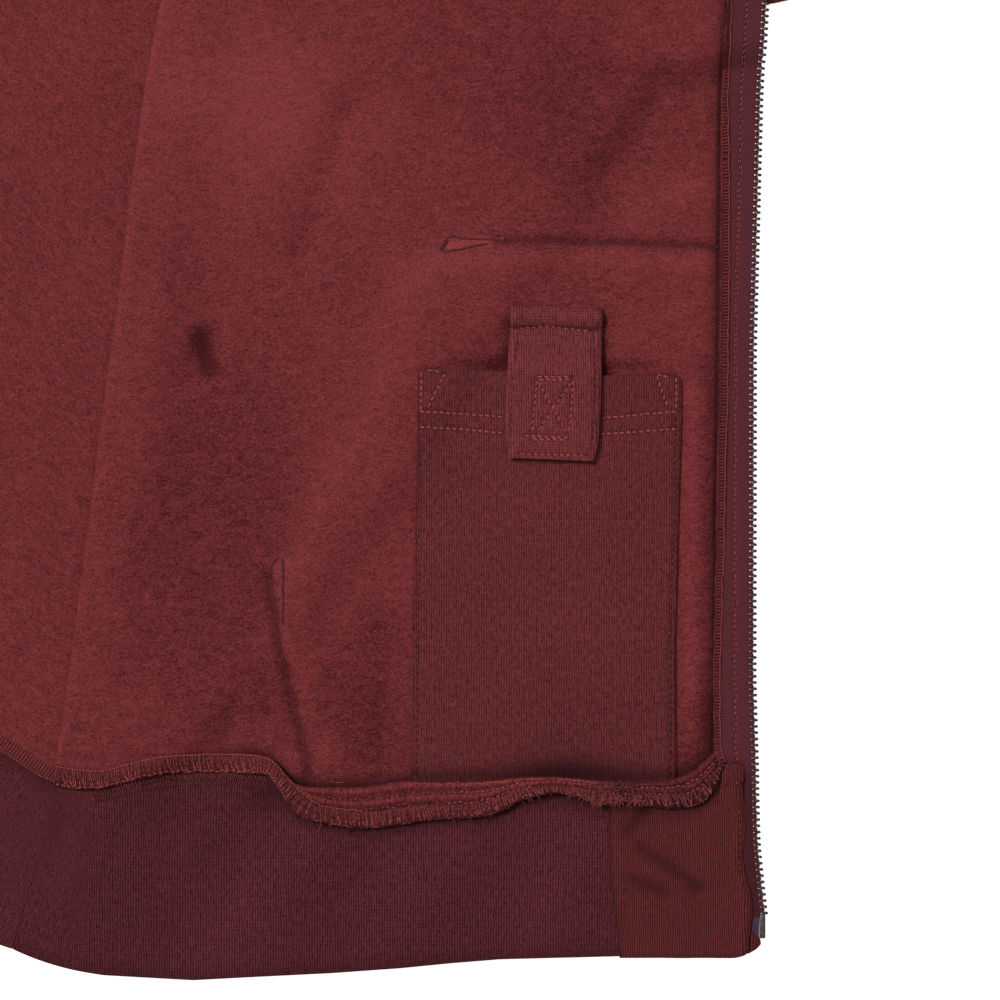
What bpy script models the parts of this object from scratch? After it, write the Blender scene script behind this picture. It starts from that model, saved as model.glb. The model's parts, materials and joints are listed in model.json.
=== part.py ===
"""Zip-up hooded sweatshirt laid on a flat surface, face up, with its left front turned open.

Metres, +Z up. The garment lies on its back on Z = 0 with its centre back line on X = 0, and +X is the
wearer's left. It is drawn with its hem along Y = 0 and then moved down, so that the origin is ORIGIN_HEIGHT
above the hem. Front panels are drawn in pattern coordinates: u is the distance from the zip edge and v the
height above the hem. The right front lies closed; the left front is turned open about its side seam. Each
piece of cloth is a grid with a wall that is moved onto the piece's form, so it is one closed solid.
"""

import math

import bmesh
import bpy
import numpy as np
from mathutils import Matrix, Vector

# Cloth
FLEECE = 0.0020          # brushed-back fleece
RIB = 0.0032             # rib band, worn double
CUFF_WALL = 0.0028       # rib cuff, worn double
POCKET_KNIT = 0.0014     # plain knit of the inside pocket
TAB_CLOTH = 0.0024       # the pocket's tab, two layers of knit
SEAM_EDGE = 0.0016       # serged seam allowance
TAPE = 0.0008            # zip tape
GAP = 0.0003             # between pieces that are sewn to or lie on each other

ORIGIN_HEIGHT = 0.300    # the origin is on the back's underside, this far above the hem

# Body pattern
CHEST_HALF = 0.300
HEM_DEPTH = 0.070        # height of the rib band
HEM_SEAM_HALF = 0.2805   # half width where the band is sewn on
HEM_EDGE_HALF = 0.272    # half width at the band's free edge
UNDERARM = 0.450
CENTRE_FRONT_NECK = 0.620
CENTRE_BACK_NECK = 0.668
NECK_POINT = (0.095, 0.690)
SHOULDER_POINT = (0.237, 0.655)
ZIP_STAND = 0.003        # the panel's folded edge, from the zip's teeth
END_PIECE = 0.054        # plain piece of the band beside the zip

# (height, half width) of the side seam
SIDE_SEAM = ((0.070, 0.2805), (0.110, 0.291), (0.160, 0.299), (0.240, 0.300), (0.450, 0.300))
# (x, y) of the armhole, from underarm to shoulder
ARMHOLE = ((0.300, 0.450), (0.281, 0.466), (0.264, 0.500), (0.251, 0.550), (0.242, 0.605), (0.237, 0.655))
# (u, v) of the front neckline, from the zip to the neck point
FRONT_NECKLINE = ((0.0, 0.620), (0.030, 0.624), (0.060, 0.640), (0.082, 0.662), (0.095, 0.690))
# (x, y) of the back neckline, from the centre to the neck point
BACK_NECKLINE = ((0.0, 0.668), (0.035, 0.670), (0.065, 0.677), (0.095, 0.690))
# (v, u) of the soft fold that the open front turns on, from the hem seam to the neck point
OPEN_FOLD = ((0.070, 0.2805), (0.150, 0.270), (0.250, 0.257), (0.384, 0.238), (0.480, 0.213),
             (0.560, 0.182), (0.640, 0.133), (0.690, 0.095))

# The left front is turned by this angle about the corner where hem and side seam meet
HINGE = (CHEST_HALF, 0.0)
OPEN_ANGLE = 2 * math.atan((CHEST_HALF - NECK_POINT[0]) / NECK_POINT[1])
TURN_RADIUS = 0.040      # of the hem band's upper edge, where the band bends round that corner
HEM_RISE_SHARE = 0.1     # of a panel's height, over which its rise at that corner fades

# Kangaroo pocket (u, v): zip side, top, slanted hand opening, side
KANGAROO = ((0.005, 0.0705), (0.005, 0.287), (0.125, 0.287), (0.193, 0.163), (0.179, 0.0705))
# Inside pocket and its tab (u, v)
PHONE_POCKET_U = (0.030, 0.1376)
PHONE_POCKET_V = (0.0725, 0.237)
TAB_U = (0.0628, 0.0988)
TAB_V = (0.201, 0.263)
TAPE_INNER_EDGE = 0.016
TEETH_REACH = 0.0034
TEETH_THICKNESS = 0.0020
TEETH_STAND = (TEETH_THICKNESS - TAPE) / 2   # how far the teeth stand off each face of the tape

# Sleeves: (distance from the armhole, flat width, direction above +X in degrees)
SLEEVE_RIGHT = ((0.0, 0.214, 15), (0.060, 0.208, -2), (0.120, 0.196, -19), (0.190, 0.184, -30),
                (0.280, 0.168, -33), (0.380, 0.150, -34), (0.470, 0.134, -35), (0.500, 0.104, -35))
SLEEVE_LEFT = ((0.0, 0.206, 30), (0.060, 0.188, 42), (0.120, 0.180, 43), (0.190, 0.174, 43),
               (0.280, 0.164, 42), (0.380, 0.150, 41), (0.470, 0.134, 40), (0.500, 0.104, 40))
ARMHOLE_CENTRE = (0.2685, 0.5525)
ARMHOLE_GAP = 0.0005     # from the panel's edge to the end of the sleeve
ARMHOLE_FACING = 0.3     # direction of that gap, above +X in radians
SLANT_SHARE = 0.16       # of a sleeve's length, over which its slant at the armhole fades
BOW_SHARE = 0.12         # and over which the armhole's curve does
CUFF_LENGTH = 0.065
# (share of the cuff's length, flat width)
CUFF_WIDTHS = ((0.0, 0.101), (0.3, 0.096), (1.0, 0.098))
SLEEVE_ROLL = 0.0016     # radius of a sleeve's side folds, to the middle of its wall
CUFF_ROLL = 0.0017
SLEEVE_CROWN = 0.0020    # how much the upper layer rises between the folds
CROWN_AT_ENDS = 0.0003
CUFF_CROWN = 0.0006

# Hood: rows run up the hood as (centre seam x, y, outer fold x, y, face edge x, y)
HOOD_RIGHT = ((0.000, 0.668, -0.095, 0.690, 0.000, 0.620),
              (0.004, 0.712, -0.126, 0.735, -0.024, 0.690),
              (0.010, 0.760, -0.141, 0.790, -0.047, 0.762),
              (0.017, 0.812, -0.141, 0.850, -0.056, 0.826),
              (0.024, 0.866, -0.116, 0.912, -0.046, 0.876),
              (0.032, 0.914, -0.066, 0.958, -0.016, 0.906),
              (0.038, 0.948, -0.010, 0.979, 0.016, 0.918),
              (0.045, 0.968, 0.045, 0.985, 0.045, 0.921))
HOOD_LEFT = ((0.000, 0.668, 0.213, 0.6834, 0.213, 0.6834),
             (0.004, 0.712, 0.236, 0.735, 0.231, 0.735),
             (0.010, 0.760, 0.246, 0.790, 0.230, 0.786),
             (0.017, 0.812, 0.244, 0.850, 0.209, 0.836),
             (0.024, 0.866, 0.220, 0.912, 0.170, 0.878),
             (0.032, 0.914, 0.168, 0.958, 0.122, 0.906),
             (0.038, 0.948, 0.106, 0.979, 0.078, 0.918),
             (0.045, 0.968, 0.045, 0.985, 0.045, 0.921))
NECK_GAP = 0.00075       # from the neckline to the hood
HOOD_ROLL = 0.0028
HOOD_ROLL_AT_NECK = 0.0013
HOOD_NECK_SHARE = 0.16   # of the hood's rows, over which it takes the neckline's form
HOOD_RIM_FLAT = 0.030    # a rim this deep lies folded flat; a narrower one only curls up
HOOD_EDGE_STRIP = 0.015  # beyond the fold where the rim isn't folded
HOOD_COLUMNS = 18
FOLD_START = 9 / HOOD_COLUMNS    # shares of a hood row's columns before, and up to the end of, its outer fold
FOLD_END = 13 / HOOD_COLUMNS
NECK_POINT_SHARE = 4 / HOOD_COLUMNS
# The left half of the hood lies over this corner of the back
SHOULDER_WEDGE = ((0.095, 0.690), (0.237, 0.655), (0.237, 0.600), (0.095, 0.600))
WEDGE_CLEAR = 0.014
WEDGE_RUN = 0.020

# Open front: shares of its width at its columns, closer together towards the fold
FRONT_COLUMNS = 24
FRONT_COLUMN_AT = (0, 19, 21, 22, 23, 24)
FRONT_COLUMN_SHARE = (0.0, 0.90, 0.965, 0.985, 0.996, 1.0)
FOLD_CROWN = 0.0022      # the cloth stands up by this beside the fold
FOLD_CROWN_AT = 0.014    # distance of that ridge from the fold, and its half width
FOLD_ROUND = 0.011       # the edge's rounding, in from the fold
FOLD_EDGE_SHARE = 0.16   # of the full height, left at the very edge
HIDDEN_EDGE = 0.018      # the layer beneath begins this far in from the side seam
HIDDEN_RUN = 0.016
SLEEVE_TOP_AT_ROOT = 0.0062
DRAPE_CLEAR = 0.017      # cloth keeps its height this far beyond what it lies on
DRAPE_RUN = 0.016        # then sinks to the floor over this distance
TAPE_MARGIN = 0.012      # what lies on the open front keeps its height this much further than the front
POCKET_MARGIN = 0.009
TAB_MARGIN = 0.018

# Serged allowance of the hem seam (s across, t along): it lies on the band, then flips up onto the front
ALLOWANCE_U = (0.018, 0.262)
ALLOWANCE_WIDTH = 0.0130
ALLOWANCE_V_DOWN = 0.0560
ALLOWANCE_V_UP = 0.0710
FLIP_U = (0.180, 0.200)
RIPPLE = 0.0105          # length of one ripple over 2 pi
RIPPLE_GROUP = 0.047
RIPPLE_DEPTH = 0.0012
RIPPLE_LIFT = 0.0006

# Closed front: it rises over the zip tape beneath its edge and to the band's upper layer
OVER_TAPE = (0.020, 0.025)   # full height to this distance from the zip, then down over this run
TO_BAND_RUN = 0.045
# Heights above the hem of the zip tape's rows
TAPE_ROWS = (0.0173, 0.030, 0.045, 0.0701, 0.0706) + tuple(0.085 + 0.0243 * i for i in range(23))

TAPE_SINKS_FROM = 0.040  # below this height above the hem the tape keeps its level inside the band

# Zip slider and its pull tab
SLIDER_LOW = 0.017       # v of the slider's lower end
SLIDER_LENGTH = 0.013
SLIDER_WIDTH = 0.0090
PLATE = 0.0009
PLATE_EDGE = 0.0003      # rounding of its edges
POST_WIDTH = 0.0020
POST_LENGTH = 0.0035
CHAIN_CENTRE = 0.0036    # from the tape's edge to the middle of the closed chain
BRIDGE_WIDTH = 0.0014
BRIDGE_LENGTH = 0.0074
BRIDGE_HEIGHT = 0.0034
PULL_WIDTH = 0.0072
PULL_LENGTH = 0.0225
PULL_PLATE = 0.0013
PULL_BAR = 0.0012
PULL_ARM = 0.0014        # width of the metal beside the eye
PULL_EYE_CLEAR = 0.0016  # between the bridge and the end of the eye
FOOT = 0.0014            # length of each foot of the bridge
SPAN = 0.0012            # thickness of the bridge over the pull tab's bar
FIT = 0.00002            # joined blocks are this much smaller, so that no two faces lie in one plane
BOX_LOW = 0.0078
BOX_WIDTH = 0.0078
BOX_EDGE = 0.0005
BOX_STAND = 0.0006       # how far the box stands off each face of the teeth
PIN_U = (-0.0026, -0.0003)
PIN_THICKNESS = 0.0018
PIN_LOW = 0.0006
LEFT_TAPE_IN_BAND = 0.0008   # height of the left tape where it runs inside the band's end

COLOURS = {
    "fleece": (0.150, 0.026, 0.028),
    "face_knit": (0.125, 0.021, 0.024),
    "pocket_knit": (0.112, 0.021, 0.023),
    "rib": (0.080, 0.016, 0.020),
    "hem_knit": (0.086, 0.016, 0.017),
    "tape": (0.084, 0.020, 0.023),
    "zip_metal": (0.040, 0.036, 0.038),
}


# ---------------------------------------------------------------- small helpers

def smooth_step(k):
    """0 below 0, 1 above 1 and an even S between."""
    k = np.clip(k, 0.0, 1.0)
    return k * k * (3 - 2 * k)


def read_curve(points, share):
    """Points of a smooth curve through a table's rows, at these shares of its length."""
    points = np.array(points, float)
    steps = np.linalg.norm(np.diff(points, axis=0), axis=1)
    stations = np.concatenate(([0.0], np.cumsum(steps))) / steps.sum()
    slopes = np.gradient(points, stations, axis=0)
    share = np.clip(share, 0.0, 1.0)
    low = np.clip(np.searchsorted(stations, share, side="right") - 1, 0, len(points) - 2)
    span = (stations[low + 1] - stations[low])[:, None]
    k = ((share - stations[low]) / span[:, 0])[:, None]
    return (points[low] * (1 + 2 * k) * (1 - k) ** 2 + slopes[low] * span * k * (1 - k) ** 2
            + points[low + 1] * k * k * (3 - 2 * k) + slopes[low + 1] * span * k * k * (k - 1))


def read_table(rows, at, column=1):
    """One column of a table at these values of its first column, on straight lines between rows."""
    rows = np.array(rows, float)
    return np.interp(at, rows[:, 0], rows[:, column])


def patch(left, right, bottom, top):
    """A plan surface between four edge curves, as a function of shares s across and t along."""
    def point(s, t):
        a, b = s[:, None], t[:, None]
        zero, one = np.zeros(1), np.ones(1)
        corners = ((1 - a) * (1 - b) * left(zero) + a * (1 - b) * right(zero)
                   + (1 - a) * b * left(one) + a * b * right(one))
        return (1 - a) * left(t) + a * right(t) + (1 - b) * bottom(s) + b * top(s) - corners
    return point


def outside(outline, x, y):
    """How far points lie outside a closed outline; 0 inside it."""
    corners = np.array(outline, float)
    ends = np.roll(corners, -1, axis=0)
    near = np.full(len(x), np.inf)
    inside = np.zeros(len(x), bool)
    for (ax, ay), (bx, by) in zip(corners, ends):
        dx, dy = bx - ax, by - ay
        k = np.clip(((x - ax) * dx + (y - ay) * dy) / (dx * dx + dy * dy), 0, 1)
        near = np.minimum(near, np.hypot(x - ax - k * dx, y - ay - k * dy))
        if dy:
            crosses = (ay > y) != (by > y)
            inside ^= crosses & (x < ax + (y - ay) / dy * dx)
    return np.where(inside, 0.0, near)


def drape(x, y, supports):
    """Underside of cloth laid over supports, each (outline, height, clear, run): it keeps the height up to
    clear beyond the outline, then sinks to the floor over run."""
    height = np.zeros(len(x))
    for outline, top, clear, run in supports:
        height = np.maximum(height, top * (1 - smooth_step((outside(outline, x, y) - clear) / run)))
    return height


def mirrored(points):
    """The same points on the wearer's right side."""
    return points * np.array((-1.0,) + (1.0,) * (points.shape[1] - 1))


# ---------------------------------------------------------------- meshes

def material(name):
    found = bpy.data.materials.get(name)
    if found:
        return found
    made = bpy.data.materials.new(name)
    made.use_nodes = True
    shader = made.node_tree.nodes["Principled BSDF"]
    shader.inputs["Base Color"].default_value = (*COLOURS[name], 1.0)
    shader.inputs["Roughness"].default_value = 0.35 if name == "zip_metal" else 0.92
    shader.inputs["Metallic"].default_value = 1.0 if name == "zip_metal" else 0.0
    return made


def take(name, finish):
    """Names the active object, gives it its material and puts it in the garment's collection."""
    made = bpy.context.object
    made.name = made.data.name = name
    made.data.materials.append(material(finish))
    for home in list(made.users_collection):
        home.objects.unlink(made)
    bpy.data.collections["zip_up_hoodie"].objects.link(made)
    return made


def give_wall(made, thickness):
    wall = made.modifiers.new("Wall", "SOLIDIFY")
    wall.thickness = thickness
    wall.offset = -1
    bpy.ops.object.modifier_apply(modifier=wall.name)


def set_points(made, points):
    made.data.vertices.foreach_set("co", np.ascontiguousarray(points, np.float32).ravel())
    form = bmesh.new()
    form.from_mesh(made.data)
    bmesh.ops.recalc_face_normals(form, faces=form.faces)
    form.to_mesh(made.data)
    form.free()
    made.data.update()
    return made


def read_points(made):
    points = np.empty(len(made.data.vertices) * 3, np.float32)
    made.data.vertices.foreach_get("co", points)
    return points.reshape(-1, 3).astype(float)


def sheet(name, finish, across, along, upper, lower):
    """A grid with a wall: upper(s, t) and lower(s, t) place its two skins."""
    bpy.ops.mesh.primitive_grid_add(x_subdivisions=across, y_subdivisions=along, size=1)
    made = take(name, finish)
    give_wall(made, 1.0)
    unit = read_points(made)
    s, t = unit[:, 0] + 0.5, unit[:, 1] + 0.5
    on_top = (unit[:, 2] > -0.5)[:, None]
    return set_points(made, np.where(on_top, upper(s, t), lower(s, t)))


def tube(name, finish, around, along, outer, inner):
    """An open cylinder with a wall: outer(a, t) and inner(a, t) place its skins, a running once around."""
    bpy.ops.mesh.primitive_cylinder_add(vertices=around, radius=1, depth=1, end_fill_type="NOTHING")
    made = take(name, finish)
    form = bmesh.new()
    form.from_mesh(made.data)
    lengthways = [e for e in form.edges if abs(e.verts[0].co.z - e.verts[1].co.z) > 0.5]
    bmesh.ops.subdivide_edges(form, edges=lengthways, cuts=along - 1)
    form.to_mesh(made.data)
    form.free()
    give_wall(made, 0.5)
    unit = read_points(made)
    a = np.arctan2(unit[:, 1], unit[:, 0]) / (2 * math.pi) % 1.0
    t = unit[:, 2] + 0.5
    is_outer = (np.hypot(unit[:, 0], unit[:, 1]) > 0.75)[:, None]
    return set_points(made, np.where(is_outer, outer(a, t), inner(a, t)))


def walled(middle, thickness):
    """Both skins of a wall about a middle surface, each half the thickness off it."""
    step = 1e-4

    def offset(s, t, side):
        along_s = middle(s + step, t) - middle(s - step, t)
        along_t = middle(s, t + step) - middle(s, t - step)
        normal = np.cross(along_s, along_t)
        normal /= np.linalg.norm(normal, axis=1)[:, None]
        return middle(s, t) + normal * thickness / 2 * side

    return (lambda s, t: offset(s, t, 1)), (lambda s, t: offset(s, t, -1))


def laid(plan, low, thickness):
    """Both skins of a flat-laid sheet: plan(s, t) gives x and y, low(x, y) the underside's height."""
    def skin(s, t, rise):
        at = plan(s, t)
        return np.column_stack((at, low(at[:, 0], at[:, 1]) + rise))

    return (lambda s, t: skin(s, t, thickness)), (lambda s, t: skin(s, t, 0.0))


# ---------------------------------------------------------------- the body's pattern

def opened(points):
    """Where pattern points (u, v) of the left front lie once it is turned open."""
    beyond, height = CHEST_HALF - points[:, 0], points[:, 1]
    turn_cos, turn_sin = math.cos(OPEN_ANGLE), math.sin(OPEN_ANGLE)
    return np.column_stack((HINGE[0] + beyond * turn_cos - height * turn_sin,
                            HINGE[1] + beyond * turn_sin + height * turn_cos))


def hem_seam(distance):
    """Height of the band's seam at this distance from the centre line: it rises where the band bends."""
    start = HINGE[0] - (TURN_RADIUS + HEM_DEPTH) * math.tan(OPEN_ANGLE / 2)
    into = np.clip(distance - start, 0.0, TURN_RADIUS * 0.99)
    return HEM_DEPTH + TURN_RADIUS - np.sqrt(TURN_RADIUS ** 2 - into ** 2)


def side_edge(t):
    """Side seam, then armhole, by share of the height."""
    seam_share = 0.64
    seam_y = HEM_DEPTH + GAP + (UNDERARM - HEM_DEPTH - GAP) * np.clip(t / seam_share, 0, 1)
    seam = np.column_stack((read_table(SIDE_SEAM, seam_y), seam_y))
    arm = read_curve(ARMHOLE, (t - seam_share) / (1 - seam_share))
    edge = np.where((t < seam_share)[:, None], seam, arm)
    rise = hem_seam(edge[:, 0]) - HEM_DEPTH
    edge[:, 1] += rise * (1 - smooth_step(t / HEM_RISE_SHARE))
    return edge


def hem_edge(start, end):
    """A panel's lower edge, just above the band's seam, between two distances from the centre line."""
    def point(s):
        x = start + (end - start) * s
        return np.column_stack((x, hem_seam(x) + GAP))
    return point


def shoulder_line(share):
    start, end = np.array(NECK_POINT), np.array(SHOULDER_POINT)
    return start + np.asarray(share)[:, None] * (end - start)


def back_top(s):
    """Shoulder, neckline, shoulder, from the wearer's right to left."""
    neck_share = 0.4
    k = np.abs(2 * s - 1)
    neck = read_curve(BACK_NECKLINE, k / neck_share)
    points = np.where((k < neck_share)[:, None], neck, shoulder_line((k - neck_share) / (1 - neck_share)))
    points[:, 0] *= np.where(s < 0.5, -1, 1)
    return points


def front_neck(share):
    """The front neckline from the zip edge to the neck point."""
    neck = read_curve(FRONT_NECKLINE, share)
    neck[:, 0] = np.maximum(neck[:, 0], ZIP_STAND * (1 - np.clip(share, 0, 1)))
    return neck


def front_top(s):
    """Neckline, then shoulder, from the zip outwards."""
    neck_share = 0.45
    past_neck = (s - neck_share) / (1 - neck_share)
    return np.where((s < neck_share)[:, None], front_neck(s / neck_share), shoulder_line(past_neck))


def zip_edge(t):
    return np.column_stack((np.full(len(t), ZIP_STAND),
                            HEM_DEPTH + GAP + (CENTRE_FRONT_NECK - HEM_DEPTH - GAP) * t))


def fold_edge(t):
    """The open front's soft fold, from the hem seam to the neck point."""
    fold = read_curve([(u, v) for v, u in OPEN_FOLD], t)
    rise = (hem_seam(HEM_SEAM_HALF) - HEM_DEPTH) * (1 - smooth_step(t / HEM_RISE_SHARE))
    return np.column_stack((fold[:, 0], fold[:, 1] + rise + GAP * (1 - t)))


front_hem = hem_edge(ZIP_STAND, HEM_SEAM_HALF)
back_hem = hem_edge(-HEM_SEAM_HALF, HEM_SEAM_HALF)
back_plan = patch(lambda t: mirrored(side_edge(t)), side_edge, back_hem, back_top)
front_plan = patch(zip_edge, side_edge, front_hem, front_top)
open_pattern = patch(zip_edge, fold_edge, front_hem, front_neck)


def outline_of(plan, count=14):
    """The edge of a plan surface as a closed outline."""
    k = np.linspace(0, 1, count, endpoint=False)
    zero, one = np.zeros(count), np.ones(count)
    return np.vstack((plan(k, zero), plan(one, k), plan(1 - k, one), plan(zero, 1 - k)))


def band_plan(start, end):
    """The left hem band between two distances from the hem's corner, negative on the back: shares s along it
    and t up it. Between its straight runs it bends about one centre."""
    half_turn = OPEN_ANGLE / 2
    outer_radius = TURN_RADIUS + HEM_DEPTH
    tangent = outer_radius * math.tan(half_turn)
    centre = np.array((HINGE[0] - tangent, outer_radius))

    def point(s, t):
        along = start + (end - start) * s
        v = HEM_DEPTH * t
        angle = half_turn * (1 + np.clip(along / tangent, -1, 1))
        bend = centre + (outer_radius - v)[:, None] * np.column_stack((np.sin(angle), -np.cos(angle)))
        past = np.where(along < 0, np.minimum(along + tangent, 0), np.maximum(along - tangent, 0))
        direction = np.where(along < 0, 0.0, OPEN_ANGLE)
        return bend + past[:, None] * np.column_stack((np.cos(direction), np.sin(direction)))
    return point


# ---------------------------------------------------------------- tubes

def sleeve_sections(rows):
    """Centre, across direction and half width of a sleeve's sections, read from its table."""
    rows = np.array(rows, float)
    fine = np.linspace(0, rows[-1, 0], 101)
    headings = np.radians(np.interp(fine, rows[:, 0], rows[:, 2]))
    steps = np.diff(fine)[:, None] * np.column_stack((np.cos(headings), np.sin(headings)))[:-1]
    centres = ARMHOLE_CENTRE + np.vstack((np.zeros(2), np.cumsum(steps, axis=0)))

    def section(t):
        at = t * rows[-1, 0]
        centre = np.column_stack([np.interp(at, fine, centres[:, i]) for i in (0, 1)])
        heading = np.radians(np.interp(at, rows[:, 0], rows[:, 2]))
        across = np.column_stack((-np.sin(heading), np.cos(heading)))
        return centre, across, np.interp(at, rows[:, 0], rows[:, 1]) / 2
    return section


def flat_tube(section, roll, base, crown):
    """Middle surface of a flattened tube in ten steps around: three flat below, two round a side fold of this
    radius, three crowned above and two round the other fold."""
    def point(a, t):
        centre, across, half = section(np.clip(t, 0, 1))
        flat = half - roll
        k = a % 1.0 * 10
        below, right, above = k < 3, (k >= 3) & (k < 5), (k >= 5) & (k < 8)
        turn = np.where(right, (k - 3) / 2, (k - 8) / 2) * math.pi
        side = np.select([below, right, above], [-flat + flat * 2 * k / 3, flat + roll * np.sin(turn),
                                                 flat - flat * 2 * (k - 5) / 3], -flat - roll * np.sin(turn))
        height = np.select([below, right, above], [0 * k, roll * (1 - np.cos(turn)),
                                                   2 * roll + crown(t) * (1 - (side / flat) ** 2)],
                           roll * (1 + np.cos(turn)))
        return np.column_stack((centre + across * side[:, None], base + height))
    return point


def sleeve_crown(t):
    """It rises over the first part of the sleeve and sinks again before the cuff."""
    rise, sink = smooth_step(t / 0.4), 0.6 * smooth_step((t - 0.8) / 0.2)
    return CROWN_AT_ENDS + (SLEEVE_CROWN - CROWN_AT_ENDS) * rise * (1 - sink)


def sleeve(name, rows, side):
    """A sleeve tube whose first section is slanted to the armhole, and the cuff on its end. It is drawn on
    the wearer's left, and side moves its points to where they belong."""
    straight = sleeve_sections(rows)
    outward = np.array((math.cos(ARMHOLE_FACING), math.sin(ARMHOLE_FACING))) * ARMHOLE_GAP
    underarm, shoulder = np.array(ARMHOLE[0]) + outward, np.array(ARMHOLE[-1]) + outward

    def section(t):
        centre, across, half = straight(t)
        under, over = centre - across * half[:, None], centre + across * half[:, None]
        root_keep = (1 - smooth_step(t / SLANT_SHARE))[:, None]
        under = under + (underarm - under) * root_keep
        over = over + (shoulder - over) * root_keep
        middle, reach = (under + over) / 2, (over - under) / 2
        length = np.linalg.norm(reach, axis=1)
        return middle, reach / length[:, None], length

    bow = armhole_bow()
    tube_middle = flat_tube(section, SLEEVE_ROLL, FLEECE / 2, sleeve_crown)

    def middle(a, t):
        points = tube_middle(a, t)
        centre, across, half = section(np.clip(t, 0, 1))
        offset = np.sum((points[:, :2] - centre) * across, axis=1) / half
        points[:, :2] += bow(offset) * (1 - smooth_step(t / BOW_SHARE))[:, None]
        return side(points)

    outer, inner = walled(middle, FLEECE)
    tube("sleeve_" + name, "face_knit", 20, 14, outer, inner)

    end, end_across, _ = section(np.ones(1))
    forward = np.array((end_across[0, 1], -end_across[0, 0]))

    def cuff_section(t):
        at = end + forward * (GAP + CUFF_LENGTH * t)[:, None]
        return at, np.repeat(end_across, len(t), axis=0), read_table(CUFF_WIDTHS, t) / 2

    cuff_middle = flat_tube(cuff_section, CUFF_ROLL, CUFF_WALL / 2, lambda t: np.full(len(t), CUFF_CROWN))
    outer, inner = walled(lambda a, t: side(cuff_middle(a, t)), CUFF_WALL)
    tube("cuff_" + name, "rib", 20, 3, outer, inner)


def armhole_bow():
    """How far the armhole's curve lies inside the straight line from underarm to shoulder."""
    points = np.array(ARMHOLE)
    chord = points[-1] - points[0]
    length = np.linalg.norm(chord)
    along = (points - points[0]) @ chord / length ** 2
    normal = np.array((-chord[1], chord[0])) / length
    depth = (points - points[0]) @ normal

    def bow(offset):
        return np.interp((offset + 1) / 2, along, depth)[:, None] * normal
    return bow


# ---------------------------------------------------------------- hood

def hood_panel(name, rows, neck_edge, side, supports):
    """Half of the hood: from the centre seam out over the floor, round the outer fold and back to the face
    edge. Row 0 is sewn to the neckline, and the last row is the centre seam where it runs over the crown."""
    rows = np.array(rows)
    stations = np.linspace(0, 1, len(rows))

    def unsewn(s, t):
        row = np.column_stack([np.interp(t, stations, rows[:, i]) for i in range(6)])
        centre, fold, face = row[:, 0:2], row[:, 2:4], row[:, 4:6]
        folded = smooth_step(np.linalg.norm(face - fold, axis=1) / HOOD_RIM_FLAT)
        roll = HOOD_ROLL_AT_NECK + (HOOD_ROLL - HOOD_ROLL_AT_NECK) * smooth_step(t / HOOD_NECK_SHARE)
        curl = math.pi * folded
        outward = (fold - centre) / np.linalg.norm(fold - centre, axis=1)[:, None]
        turn_from = fold - outward * (roll * folded)[:, None]
        k_low = np.clip(s / FOLD_START, 0, 1)[:, None]
        angle = np.clip((s - FOLD_START) / (FOLD_END - FOLD_START), 0, 1) * curl
        k_top = np.clip((s - FOLD_END) / (1 - FOLD_END), 0, 1)
        straight_on = np.clip((s - FOLD_START) / (1 - FOLD_START), 0, 1) * HOOD_EDGE_STRIP * (1 - folded)
        turned = turn_from + outward * (roll * np.sin(angle) + straight_on)[:, None]
        turned_end = turn_from + outward * (roll * np.sin(curl))[:, None]
        turned += (face - turned_end) * (k_top * folded)[:, None]
        plan = np.where((s < FOLD_START)[:, None], centre + (turn_from - centre) * k_low, turned)
        height = FLEECE / 2 + roll * (1 - np.cos(angle))
        on_lower_layer = FLEECE * 1.5 + GAP * 2
        return plan, height + (on_lower_layer - height) * smooth_step(k_top * 1.2) * folded

    def middle(s, t):
        s, t = np.clip(s, 0, 1), np.clip(t, 0, 1)
        plan, height = unsewn(s, t)
        at_neck, _ = unsewn(s, 0 * t)
        plan = plan + (neck_edge(s, at_neck) - at_neck) * (1 - smooth_step(t / HOOD_NECK_SHARE))[:, None]
        return np.column_stack((plan, height + drape(plan[:, 0], plan[:, 1], supports)))

    outer, inner = walled(middle, FLEECE)
    made = sheet("hood_" + name, "face_knit", HOOD_COLUMNS, 21, outer, inner)
    points = read_points(made)
    points[:, 0] += side * GAP
    seam_side = (points[:, 0] - HOOD_LEFT[-1][0]) * side < GAP
    over_crown = seam_side & (points[:, 1] > HOOD_LEFT[-1][5] - GAP)
    points[over_crown, 0] = HOOD_LEFT[-1][0] + side * GAP
    return set_points(made, points)


def neck_gap(points, towards):
    """Moves neckline points off the body, towards a place inside the hood."""
    away = np.array(towards) - points
    return points + away / np.linalg.norm(away, axis=1)[:, None] * NECK_GAP


def right_hood_neck(s, unsewn):
    """Lower layer along the back neckline, upper layer along the closed front's."""
    lower = mirrored(read_curve(BACK_NECKLINE, s / FOLD_START))
    upper = mirrored(read_curve(FRONT_NECKLINE, 1 - (s - FOLD_END) / (1 - FOLD_END)))
    lower, upper = (neck_gap(edge, (0.0, 0.75)) for edge in (lower, upper))
    return np.where((s <= FOLD_START)[:, None], lower, np.where((s < FOLD_END)[:, None], unsewn, upper))


def left_hood_neck(s, unsewn):
    """Along the back neckline to the neck point, then along the open front's."""
    at_back = read_curve(BACK_NECKLINE, s / NECK_POINT_SHARE)
    at_front = opened(read_curve(FRONT_NECKLINE, 1 - (s - NECK_POINT_SHARE) / (1 - NECK_POINT_SHARE)))
    return neck_gap(np.where((s <= NECK_POINT_SHARE)[:, None], at_back, at_front), (0.15, 0.90))


# ---------------------------------------------------------------- front panels and what is on them

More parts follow.
